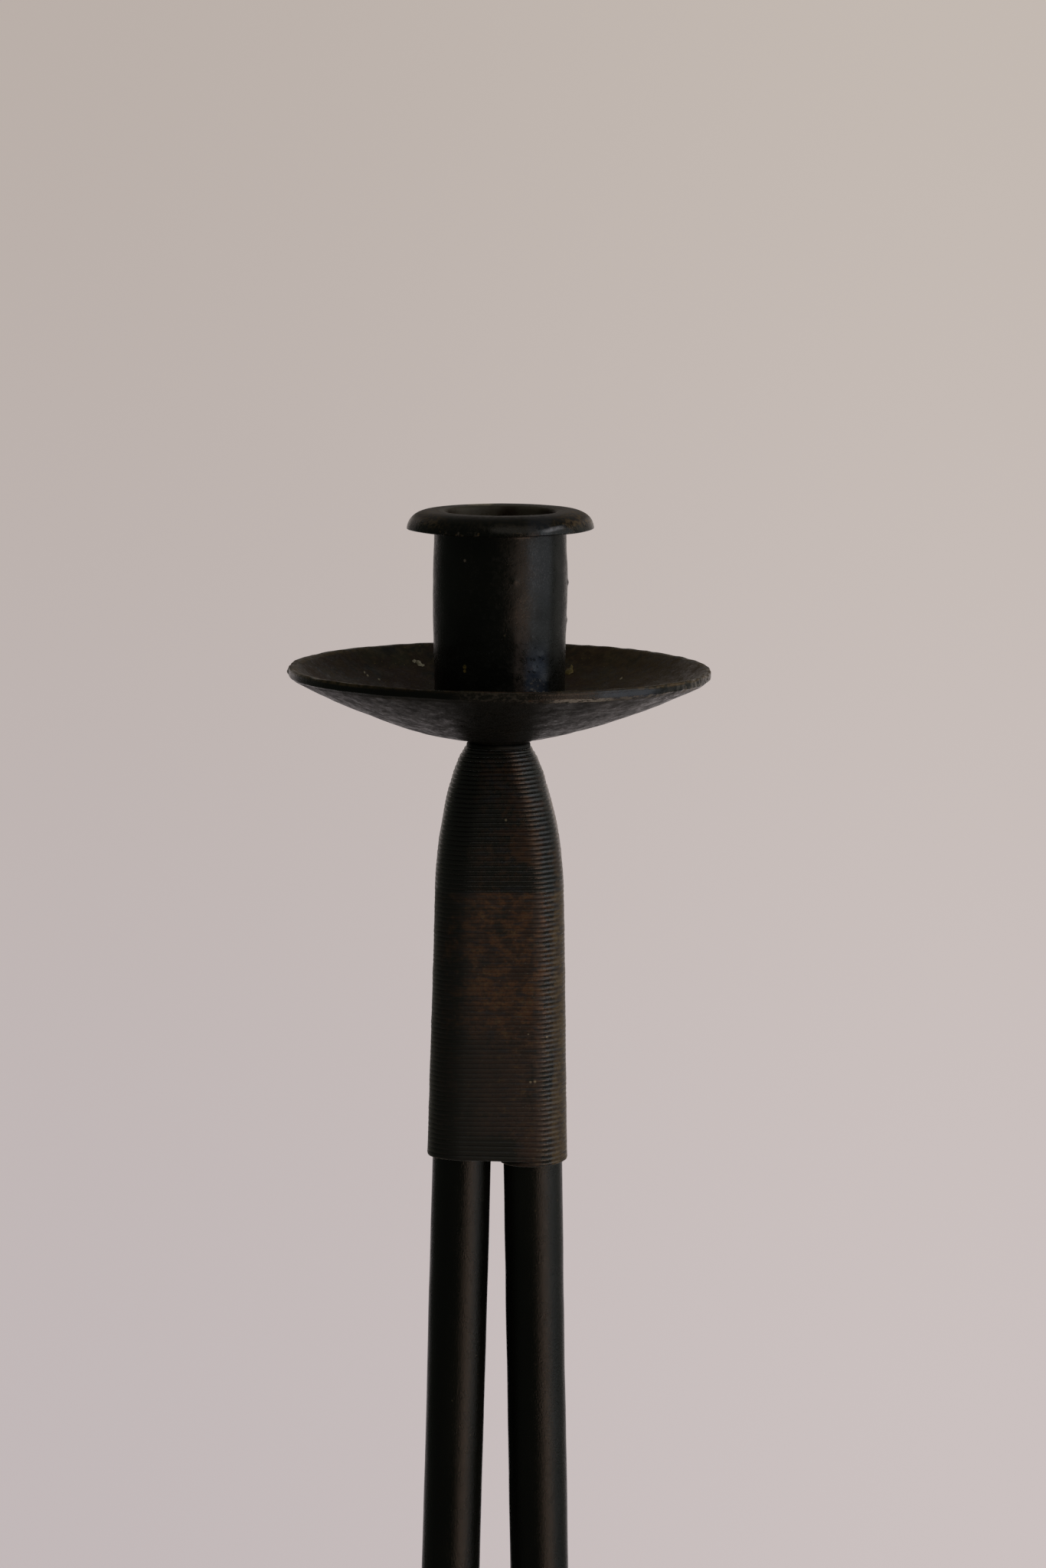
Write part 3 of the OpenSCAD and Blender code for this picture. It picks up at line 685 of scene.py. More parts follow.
def forged_cup():
    foot_fit = 0.05 * MM
    edge_round = 0.35 * MM
    crown_r = LIP_R - LIP_ROLL
    foot_out_z = float(pan_top(CUP_R)) + foot_fit
    foot_in_z = float(pan_top(BORE_R)) + foot_fit
    mouth = arc((BORE_R + MOUTH_R, LIP_Z - MOUTH_R), (MOUTH_R, MOUTH_R), pi, pi / 2)
    crown = arc((crown_r, LIP_UNDER_Z), (LIP_ROLL, LIP_H), pi / 2, 0.06, 16)
    corner = arc((LIP_R - edge_round, LIP_UNDER_Z + edge_round * 0.6),
                 (edge_round, edge_round * 0.6), -0.2, -pi / 2, 6)
    drop = LIP_UNDER_Z - foot_out_z
    wall = [(float(cup_wall_r(u)), LIP_UNDER_Z - drop * u) for u in np.linspace(0, 1, 30)]
    rim = mouth + crown + corner
    section = trace(rim + wall + [(BORE_R, foot_in_z), rim[0]], 0.3 * MM)[:-1]
    grid = revolve(section, 420)

    x, y, z = grid[..., 0], grid[..., 1], grid[..., 2]
    radius = np.hypot(x, y)
    outside = smooth_step(radius, BORE_R + 0.5 * MM, BORE_R + 1.6 * MM)
    on_lip = smooth_step(z, LIP_UNDER_Z - 1.0 * MM, LIP_UNDER_Z)
    shape = 0.05 * waves(grid, 9 * MM, SEED) + 0.03 * waves(grid, 2.6 * MM, SEED + 1)
    rolled = 0.10 * waves(grid, 14 * MM, SEED + 2) + 0.05 * waves(grid, 3.4 * MM, SEED + 3)
    narrow = smooth_step(z, 1084 * MM, 1077 * MM)
    out = (shape - 0.05 - 0.12 * narrow + on_lip * (rolled + 0.22)) * outside * MM

    # Spattered braze runs up the cup's front right, above its foot
    runs = [(35, 1062.5, 2.6, 0.3), (42, 1066.0, 1.6, 0.26), (31, 1068.5, 1.0, 0.16),
            (52, 1061.0, 1.5, 0.3), (24, 1060.0, 1.4, 0.22), (38, 1071.5, 0.7, 0.14),
            (12, 1087.0, 0.7, 0.14), (90, 1085.4, 0.6, 0.26), (88, 1077.8, 0.6, 0.2)]
    for from_front, height, width, depth in runs:
        turn = radians(from_front)
        middle = np.array([CUP_R * sin(turn), -CUP_R * cos(turn), height * MM])
        out += depth * MM * bump_at(np.linalg.norm(grid - middle, axis=-1), width * MM) * outside
    push_out(grid, out)
    upper = smooth_step(z, LIP_UNDER_Z + 0.4 * MM, LIP_Z - 0.6 * MM)
    lift = 0.2 * upper - 0.08 + 0.13 * x / LIP_R + 0.03 * waves(grid, 8 * MM, SEED + 4)
    grid[..., 2] += lift * on_lip * outside * MM
    return skin("forged_cup", grid, closed_rows=True)


def braze_bead():
    """A lumpy bead in the corner between the cup and the pan."""
    inner_r = CUP_R + 0.12 * MM
    width = BEAD_R - inner_r
    turn = np.linspace(0, 2 * pi, 16, endpoint=False)
    height = 0.55 * width
    section = np.stack([inner_r + width * (0.47 + 0.47 * np.cos(turn)),
                        height * (1 + 0.95 * np.sin(turn))], axis=-1)
    grid = revolve(section, 360)
    radius = np.hypot(grid[..., 0], grid[..., 1])
    swell = 0.82 + 0.16 * waves(grid, 2.2 * MM, SEED + 5)
    grid[..., 2] *= swell
    grid[..., 2] += pan_top(radius) + 0.05 * MM
    return skin("braze_beading", grid, closed_rows=True)


# The pan

BOWL_SAG = 0.28 * MM
RIM_SAG = 0.19 * MM
BACK_RISE = 0.15 * MM
NECK_RISE = 0.2 * MM
BOWL_SKEW = 0.27 * MM
RIM_SKEW = 0.16 * MM


def pan_droop(x, y):
    """The pan is a little crooked: its bowl hangs lower at the left and its rim at the right."""
    r = np.maximum(np.hypot(x, y), MM)
    sag = BOWL_SAG * smooth_step(r, 12 * MM, 23 * MM)
    sag += smooth_step(r, 26 * MM, 36 * MM) * (RIM_SAG * (x / r) ** 2 - BACK_RISE * np.maximum(y / r, 0) ** 2)
    neck = NECK_RISE * bump_at(r - 10.5 * MM, 2.6 * MM)
    skew = BOWL_SKEW * bump_at(r - 18 * MM, 9 * MM) - RIM_SKEW * smooth_step(r, 0.75 * PAN_R, PAN_R)
    return neck - sag + x / r * skew


def hammer_marks(x, y, seed, count, depth):
    """Shallow round dents scattered over the pan, and how deep they are at each point."""
    rng = np.random.default_rng(seed)
    far = PAN_R * np.sqrt(rng.uniform(0.05, 1.05, count))
    turn = rng.uniform(0, 2 * pi, count)
    width = rng.uniform(1.6, 3.2, count) * MM
    deep = depth * rng.uniform(0.4, 1.0, count)
    dents = np.zeros_like(x)
    for r, a, w, d in zip(far, turn, width, deep):
        gap = (x - r * cos(a)) ** 2 + (y - r * sin(a)) ** 2
        near = gap < w * w
        dents[near] = np.maximum(dents[near], d * (1 - gap[near] / (w * w)))
    return dents


def hammered_pan():
    step = 0.4 * MM
    inner_arc_r = PAN_ARC_R - PAN_T
    top = arc((PAN_ARC_X, PAN_ARC_Z), (inner_arc_r, inner_arc_r),
              PAN_SLOPE_IN - pi / 2, PAN_SLOPE_RIM - pi / 2, 60)
    low = arc((PAN_ARC_X, PAN_ARC_Z), (PAN_ARC_R, PAN_ARC_R),
              PAN_SLOPE_RIM - pi / 2, PAN_SLOPE_IN - pi / 2, 70)
    rim_in_r = PAN_R - RIM_T
    upset = RIM_TOP_Z - float(pan_top(rim_in_r))
    inner = [(r, h + upset * float(smooth_step(r, RIM_IN_R - 4 * MM, rim_in_r)))
             for r, h in top if PAN_SEAT_R < r < rim_in_r]
    worn_r = 0.35 * MM
    rim = arc((PAN_R - worn_r, RIM_TOP_Z - worn_r), (worn_r, worn_r), pi / 2, 0, 8)
    rim += arc((PAN_R - worn_r, RIM_LOW_Z + worn_r), (worn_r, worn_r * 0.8), 0, -0.33 * pi, 6)
    loop = [(HOLE_R, PAN_FLOOR_Z), (PAN_SEAT_R, PAN_FLOOR_Z)]
    loop += inner + rim + low[2:]
    loop += [(HOLE_R, PAN_UNDER_Z), (HOLE_R, PAN_FLOOR_Z)]
    section = trace(loop, step)[:-1]
    grid = revolve(section, 720)

    x, y, z = grid[..., 0].copy(), grid[..., 1].copy(), grid[..., 2]
    radius = np.hypot(x, y)
    loose = smooth_step(radius, CUP_R + 0.4 * MM, CUP_R + 4 * MM)
    middle_z = PAN_ARC_Z - np.sqrt((PAN_ARC_R - PAN_T / 2) ** 2 - (radius - PAN_ARC_X) ** 2)
    is_top = z > middle_z
    dents = hammer_marks(x, y, SEED + 7, 900, 0.10 * MM)
    under = hammer_marks(x, y, SEED + 8, 700, 0.07 * MM)
    lift = np.where(is_top, 0.04 * MM - dents, under - 0.03 * MM)
    lift += 0.03 * MM * waves(grid, 2.4 * MM, SEED + 9)
    flat = np.stack([x, y, np.zeros_like(x)], axis=-1)
    near_rim = smooth_step(radius, 0.6 * PAN_R, PAN_R)
    lift += near_rim * (0.04 * waves(flat, 22 * MM, SEED + 10)
                        + 0.015 * waves(flat, 5 * MM, SEED + 11)) * MM

    # Nicks in the rim: degrees round from the front to the right, width and depth in mm
    nicks = [(78, 1.6, 0.45), (84, 1.0, 0.35), (91, 1.3, 0.4), (66, 1.2, 0.25), (-94, 1.0, 0.35),
             (-60, 1.4, 0.12), (12, 2.0, 0.12)]
    for from_front, width, depth in nicks:
        a = radians(from_front)
        gap = np.hypot(x - PAN_R * sin(a), y + PAN_R * cos(a))
        lift -= depth * MM * bump_at(gap, width * MM) * is_top
    hollow = smooth_step(radius, 6.3 * MM, 7.2 * MM) * smooth_step(radius, 11 * MM, 7.6 * MM)
    grid[..., 2] += lift * loose + pan_droop(x, y) + 0.55 * MM * hollow * ~is_top
    ragged = smooth_step(x, 22 * MM, 36 * MM) * smooth_step(radius, PAN_R - 1.2 * MM, PAN_R - 0.3 * MM)
    ragged *= smooth_step(y, 8 * MM, 0)
    edge = 0.05 * waves(flat, 18 * MM, SEED + 12) + 0.05 + 0.02 * waves(flat, 3 * MM, SEED + 13)
    edge += ragged * 0.09 * waves(grid, 1.1 * MM, SEED + 16)
    burr = np.linalg.norm(grid - np.array([-PAN_R, -0.5 * MM, RIM_TOP_Z - 1.5 * MM]), axis=-1)
    push_out(grid, (near_rim * edge + 0.4 * bump_at(burr, 0.6 * MM)) * MM)
    return skin("hammered_pan", grid, closed_rows=True)


def collar():
    """A thick washer with a round edge, under the pan."""
    high_z = PAN_UNDER_Z - 0.01 * MM
    edge_r = COLLAR_R + 0.06 * MM
    low_z = BUNDLE_TOP_Z
    outer = arc((edge_r - 0.5 * MM, high_z - 0.6 * MM), (0.5 * MM, 0.6 * MM), pi / 2, 0, 6)
    outer += [(edge_r, low_z + 0.03 * MM), (edge_r - 0.03 * MM, low_z)]
    loop = [(HOLE_R, low_z), (HOLE_R, high_z)] + outer + [(HOLE_R, low_z)]
    grid = revolve(trace(loop, 0.3 * MM)[:-1], 240)
    radius = np.hypot(grid[..., 0], grid[..., 1])
    push_out(grid, 0.07 * MM * waves(grid, 3 * MM, SEED + 14)
             * smooth_step(radius, COLLAR_R - 1 * MM, COLLAR_R))
    return skin("collar_washer", bowed(grid), closed_rows=True)


def rivet():
    """The shank, and the head that is peened down inside the cup."""
    edge_h = 0.3 * MM
    head_h = RIVET_TOP_Z - PAN_FLOOR_Z
    dome = [(RIVET_HEAD_R * sin(a), PAN_FLOOR_Z + edge_h + (head_h - edge_h) * cos(a))
            for a in np.linspace(0.02, pi / 2, 16)]
    loop = dome + [(RIVET_HEAD_R, PAN_FLOOR_Z), (RIVET_R, PAN_FLOOR_Z), (RIVET_R, RIVET_LOW_Z)]
    section = trace(loop, 0.5 * MM)
    grid = revolve(section, 120).transpose(1, 0, 2)
    radius = np.hypot(grid[..., 0], grid[..., 1])
    dents = hammer_marks(grid[..., 0] * 6, grid[..., 1] * 6, SEED + 15, 260, 0.1 * MM)
    on_top = grid[..., 2] > PAN_FLOOR_Z + edge_h * 0.5
    grid[..., 2] -= dents * on_top * smooth_step(radius, 0, 0.5 * MM)
    return skin("peened_rivet", grid, closed_rows=False, caps=True)


# The rods

def rod_a(z):
    """Lean of a rod's centre line at height z."""
    bent = np.arcsin(np.clip((z - TIP_CENTRE_Z) / TIP_BEND_R, -1, 1))
    return np.where(z < TIP_Z, ROD_LEAN, bent)


def rod_at(z):
    """Distance of a rod's centre line from the axis at height z."""
    straight = TIP_X + (TIP_Z - z) * tan(ROD_LEAN)
    return np.where(z < TIP_Z, straight, TIP_CENTRE_X + TIP_BEND_R * np.cos(rod_a(z)))


BOW = 0.17 * MM
BOW_Z = 1012 * MM
BUD_LEAN = 0.23 * MM


def bowed(points):
    """The bundle bows a little to the right halfway up the binding, and to the left at its top."""
    points[..., 0] += BOW * bump_at(points[..., 2] - BOW_Z, 26 * MM)
    points[..., 0] -= BUD_LEAN * smooth_step(points[..., 2], 1034 * MM, 1044 * MM)
    return points


def level_rings(z, turn):
    """Level cuts through a rod: ellipses in [out, across, height]."""
    long_r = ROD_R / np.cos(rod_a(z))
    u = rod_at(z)[:, None] + long_r[:, None] * np.cos(turn)
    v = np.broadcast_to(ROD_R * np.sin(turn), u.shape)
    return np.stack([u, v, np.broadcast_to(z[:, None], u.shape)], axis=-1)


def bend_rings(turn, step):
    """Rings square to the centre line, round the bend of the foot."""
    leans = np.linspace(ROD_LEAN, FOOT_A, int(FOOT_BEND_R * (FOOT_A - ROD_LEAN) / step))[1:]
    rings = []
    for a in leans:
        mid_u = BEND_TOP_X + FOOT_BEND_R * (cos(ROD_LEAN) - cos(a))
        mid_z = BEND_TOP_Z - FOOT_BEND_R * (sin(a) - sin(ROD_LEAN))
        rings.append(np.stack([mid_u + ROD_R * cos(a) * np.cos(turn), ROD_R * np.sin(turn),
                               mid_z + ROD_R * sin(a) * np.cos(turn)], axis=-1))
    return np.array(rings)


def foot_rings(turn):
    """The drawn-down end and the hammered pad, forged in one piece."""
    inner_u = PAD_X - PAD_R
    along = np.concatenate([np.linspace(BEND_END_X, inner_u - 2 * MM, 24)[1:],
                            np.linspace(inner_u - 2 * MM, inner_u + 3 * MM, 18)[1:],
                            PAD_X + PAD_R * np.sin(np.linspace(-0.9, pi / 2 - 0.03, 34))])
    lift, side = np.cos(turn), np.sin(turn)
    rings = []
    for u in along:
        left = (PAD_X - u) / FOOT_TAPER / sin(FOOT_A)
        bar_r = TAPER_END_R + (ROD_R - TAPER_END_R) * np.clip(left, -0.2, 1)
        bar_z = PAD_T / 2 + (PAD_X - u) * tan(FOOT_SLOPE)
        disc_w = sqrt(max(PAD_R ** 2 - (u - PAD_X) ** 2, 0))
        padded = float(smooth_step(u, inner_u - 1.5 * MM, inner_u + 2.5 * MM))
        past = float(smooth_step(u, PAD_X - 3 * MM, PAD_X + 4 * MM))
        half_w = float(smooth_max(disc_w, bar_r * (1 - past), 1.2 * MM * (1 - past) + 1e-6))
        v = half_w * side
        upright = sqrt(1 + tan(FOOT_SLOPE) ** 2)
        arch = np.sqrt(np.maximum(bar_r ** 2 - np.minimum(np.abs(v), bar_r) ** 2, 0)) * upright
        bar_top = bar_z + arch - past * PAD_T
        far = np.clip(((u - PAD_X) ** 2 + v ** 2) / PAD_R ** 2, 0, 1)
        disc_top = PAD_EDGE_T + (PAD_T - PAD_EDGE_T) * (1 - far)
        crown = smooth_max(bar_top, disc_top, 0.9 * MM)
        edge = np.abs(lift) ** (0.3 * padded)
        bar_ring = bar_z + np.sign(lift) * arch
        mid = PAD_EDGE_T / 2
        pad_ring = np.where(lift >= 0, mid + (crown - mid) * edge, mid * (1 - edge))
        height = (1 - padded) * bar_ring + padded * pad_ring
        tilt = (BEND_END_X + 16 * MM - u) / (16 * MM)
        shift = np.clip(tilt, 0, 1) * sin(FOOT_SLOPE) * bar_r * lift
        rings.append(np.stack([u + shift, v, np.maximum(height, 0)], axis=-1))
    return np.array(rings)


def leg(name, quarter, seed):
    """One rod, from its ground tip to its pad, in the quarter that starts at that angle."""
    turn = np.linspace(0, 2 * pi, 56, endpoint=False)
    tip_z = np.arange(BUNDLE_TOP_Z, TIP_Z, -0.6 * MM)
    bar_z = np.linspace(TIP_Z, BEND_TOP_Z, 420)
    stock = [level_rings(np.concatenate([tip_z, bar_z]), turn), bend_rings(turn, 2.0 * MM)]
    grid = np.concatenate(stock + [foot_rings(turn)])

    # Drawn and filed by hand: the rod is never quite round or straight
    c, s = cos(pi / 4), sin(pi / 4)
    x = grid[..., 0] * c - grid[..., 1] * s
    y = grid[..., 0] * s + grid[..., 1] * c
    z = grid[..., 2]
    here = np.stack([x, y, z * 0.4], axis=-1)
    centre_u = grid.mean(axis=1, keepdims=True)[..., 0]
    side_u, side_v = grid[..., 0] - centre_u, grid[..., 1]
    thick = np.maximum(np.hypot(side_u, side_v), MM)
    swell = (0.045 * waves(here, 9 * MM, seed) + 0.02 * waves(here, 3 * MM, seed + 1)) * MM
    swell -= 0.02 * MM
    swell *= smooth_step(z, PAD_T, PAD_T + 10 * MM)
    x = x + swell * (side_u * c - side_v * s) / thick
    y = y + swell * (side_u * s + side_v * c) / thick

    # The tips are ground flat against each other, with a groove for the rivet
    x = np.maximum(x, TIP_SEAM)
    y = np.maximum(y, TIP_SEAM)
    radius = np.hypot(x, y)
    grooved = (radius < HOLE_R) & (z > RIVET_LOW_Z - 0.1 * MM)
    widen = np.where(grooved, HOLE_R / np.maximum(radius, 1e-6), 1.0)
    x, y = x * widen, y * widen
    a = radians(quarter)
    grid = np.stack([x * cos(a) - y * sin(a), x * sin(a) + y * cos(a), z], axis=-1)
    return skin(name, bowed(grid), closed_rows=False, caps=True)


# The binding

WIRE_R = 0.485 * MM
WIRE_TURNS = 87
WIRE_SIDES = 12
WIRE_FILL = 0.34
CORNER_STEPS = 12
RUN_STEPS = 6
TUCK_A = radians(-112)
FIRST_TURN_UP = 1.45 * MM
TOP_PRESS = 0.06 * MM
TOP_DRAWN_IN = 0.3 * MM
STRAND_DIP = 0.68 * MM
DIP_TURNS = 9


def corner_point(corner, a, z, out):
    """A point off the corner rod's side that faces a, counted from its diagonal."""
    long_r = ROD_R / cos(float(rod_a(z)))
    face = hypot(long_r * cos(a), ROD_R * sin(a))
    u = float(rod_at(z)) + long_r ** 2 * cos(a) / face + out * cos(a)
    v = ROD_R ** 2 * sin(a) / face + out * sin(a)
    side = radians(corner * 90 - 45)
    return np.array([u * cos(side) - v * sin(side), u * sin(side) + v * cos(side), z])


def wire_path():
    """The wire's centre line, from its end tucked between the front rods up to the collar."""
    rng = np.random.default_rng(SEED + 20)
    sway = rng.normal(0, 0.016, WIRE_TURNS + 2) * MM
    loose = np.abs(rng.normal(0, 0.035, WIRE_TURNS + 2)) * MM

    # The turns lie against each other, so they climb less where the bundle narrows
    low = WIRE_LOW_Z + WIRE_R + FIRST_TURN_UP
    high = WIRE_HIGH_Z - WIRE_R + TOP_PRESS
    heights = np.linspace(low, high, 400)
    climb = np.cumsum(1 / np.cos(rod_a(heights)))
    turns_at = (climb - climb[0]) / (climb[-1] - climb[0]) * (WIRE_TURNS - 1.25)
    per_corner = CORNER_STEPS + RUN_STEPS
    path = []
    for k in range(WIRE_TURNS * 4 - 2):
        first_a = TUCK_A if k == 0 else -pi / 4
        for i in range(per_corner):
            t = (k + i / per_corner) / 4
            turn, part = int(t), t % 1
            z = float(np.interp(t, turns_at, heights))
            z += sway[turn] * (1 - part) + sway[turn + 1] * part
            z = min(z, high)
            from_right = t - 0.045 - round(t - 0.045)
            z -= STRAND_DIP * max(0, 1 - t / DIP_TURNS) * float(bump_at(from_right, 0.10))
            out = WIRE_R + WIRE_FIT + loose[turn] * (1 - part) + loose[turn + 1] * part
            out -= TOP_DRAWN_IN * float(smooth_step(t, WIRE_TURNS - 4, WIRE_TURNS - 1.5))
            if i < CORNER_STEPS:
                a = first_a + (pi / 4 - first_a) * i / CORNER_STEPS
                point = corner_point(k % 4, a, z, out)
            else:
                share = (i - CORNER_STEPS) / RUN_STEPS
                start = corner_point(k % 4, pi / 4, z, out)
                stop = corner_point((k + 1) % 4, -pi / 4, z, out)
                point = start * (1 - share) + stop * share
            path.append(point)
    return np.array(path)


BURR_AT = Vector((9.2 * MM, -1.5 * MM, 1046.6 * MM))


def wound_wire():
    """One round wire, wound turn against turn round the bundle, its grooves half full of rust."""
    path = bowed(wire_path())
    count = len(path)
    turn_at = np.arange(count) / (4 * (CORNER_STEPS + RUN_STEPS))
    packed = smooth_step(turn_at, 0.2, 1.4) * smooth_step(turn_at[::-1], 1.0, 2.2)

    # Three crossed turns stand out at the right, near the top
    gap = np.linalg.norm(path - np.array(BURR_AT), axis=1)
    push_out(path, 0.32 * MM * bump_at(gap, 2.2 * MM))
    ahead = np.gradient(path, axis=0)
    ahead /= np.linalg.norm(ahead, axis=1, keepdims=True)
    up = np.array([0.0, 0.0, 1.0])
    out = np.cross(ahead, up)
    out /= np.linalg.norm(out, axis=1, keepdims=True)
    rise = np.cross(out, ahead)
    turn = np.linspace(0, 2 * pi, WIRE_SIDES, endpoint=False)
    thick = WIRE_R * (1 + 0.04 * waves(path, 2.4 * MM, SEED + 21))[:, None, None]
    tall = (1 + WIRE_FILL * packed)[:, None]
    across = np.cos(turn)[None, :, None] * out[:, None]
    upward = (np.sin(turn) * tall)[..., None] * rise[:, None]
    grid = path[:, None] + thick * (across + upward)
    return skin("wound_wire", grid, closed_rows=False, caps=True)


# The camera, and where its pixels fall on the pan

def camera_turn():
    return (Matrix.Rotation(-CAMERA_YAW, 3, "Z") @ Matrix.Rotation(pi / 2 - CAMERA_PITCH, 3, "X")
            @ Matrix.Rotation(CAMERA_ROLL, 3, "Z"))


def add_camera():
    data = bpy.data.cameras.new("camera")
    data.lens = LENS_MM
    data.sensor_width = SENSOR_MM
    camera = bpy.data.objects.new("camera", data)
    camera.matrix_world = Matrix.Translation(CAMERA_AT) @ camera_turn().to_4x4()
    bpy.context.scene.collection.objects.link(camera)
    bpy.context.scene.camera = camera


def on_pan(pixel):
    """The place on the pan's upper face that the photograph shows at that pixel."""
    aim = camera_turn() @ Vector((pixel[0] - PHOTO_W / 2, PHOTO_H / 2 - pixel[1], -FOCAL_PX))
    aim /= aim.y
    for y in np.arange(-PAN_R * 0.97, PAN_R, 0.05 * MM):
        point = CAMERA_AT + aim * (y - CAMERA_AT.y)
        far = hypot(point.x, point.y)
        if far < PAN_R - 0.8 * MM and point.z < float(pan_top(far)) + float(pan_droop(point.x, y)):
            return point
    return None


# Wax left in the pan: pixel in the photograph, length and width across the view in mm
CREAM_CHIPS_PX = [((541, 863), 1.4, 0.7), ((547, 866), 1.5, 0.8), ((552, 869), 0.9, 0.5),
                  ((606, 905), 0.5, 0.3), ((469, 862), 0.5, 0.4),
                  ((476, 878), 0.5, 0.4), ((480, 882), 0.6, 0.4), ((495, 887), 0.5, 0.4),
                  ((499, 881), 0.5, 0.3), ((503, 850), 0.6, 0.4), ((531, 852), 0.5, 0.4),
                  ((522, 866), 0.6, 0.4), ((789, 871), 0.5, 0.4), ((811, 886), 0.7, 0.4),
                  ((821, 888), 0.5, 0.3), ((438, 872), 0.5, 0.3), ((452, 858), 0.4, 0.3)]
OCHRE_DRIPS_PX = [((743, 877), 1.6, 1.2), ((746, 872), 0.9, 0.8), ((575, 879), 0.8, 0.6),
                  ((845, 874), 1.0, 0.5)]


def drop(centre, length, width, seed):
    """A small flat lump on the pan, as points and faces."""
    rng = np.random.default_rng(seed)
    rings, sides = 6, 14
    far = hypot(centre.x, centre.y)
    slope = (float(pan_top(far + MM)) - float(pan_top(far - MM))) / (2 * MM)
    turn = np.linspace(0, 2 * pi, sides, endpoint=False)
    ragged = 1 + 0.22 * np.sin(2 * turn + rng.uniform(0, 6)) + 0.12 * np.sin(5 * turn + rng.uniform(0, 6))
    points = []
    for k in range(rings):
        a = pi / 2 * k / (rings - 1)
        reach = np.cos(a) * ragged if k < rings - 1 else 0.02 * ragged
        x = centre.x + length / 2 * reach * np.cos(turn)
        y = centre.y + width * 1.2 * reach * np.sin(turn)
        r = np.hypot(x, y)
        z = centre.z + (r - far) * slope + width * 0.45 * sin(a) - 0.1 * MM
        points.append(np.stack([x, y, z], axis=-1))
    return np.array(points)


def wax_piece(name, marks, material, seed):
    """All the wax of one colour, as one piece with a lump for each mark."""
    points, faces = [], []
    for i, (pixel, length, width) in enumerate(marks):
        centre = on_pan(pixel)
        if centre is None:
            continue
        lump = drop(centre, length * MM, width * MM, seed + i)
        rows, cols = lump.shape[:2]
        index = np.arange(rows * cols).reshape(rows, cols) + len(points)
        for k in range(rows - 1):
            for j in range(cols):
                n = (j + 1) % cols
                faces.append([index[k][j], index[k][n], index[k + 1][n], index[k + 1][j]])
        faces.append([int(v) for v in index[0][::-1]])
        faces.append([int(v) for v in index[-1]])
        points += lump.reshape(-1, 3).tolist()
    faces = [[int(v) for v in face] for face in faces]
    piece = new_piece(name, np.array(points), faces)
    piece.data.materials.append(material)
    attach(piece, "root")
    return piece


# The room: a pale wall behind, a window to the right and a dim room behind the camera

WALL_HIGH_LEFT = (0.490, 0.430, 0.394)
WALL_HIGH_RIGHT = (0.545, 0.484, 0.440)
WALL_LOW_LEFT = (0.540, 0.482, 0.484)
WALL_LOW_RIGHT = (0.597, 0.533, 0.527)
WALL_LEVEL = 1.0
ROOM_LEVEL = 0.11
ROOM_TINT = (0.50, 0.53, 0.44)
WALL_TURN = radians(2)
FLOOR_GLOW = 0.15


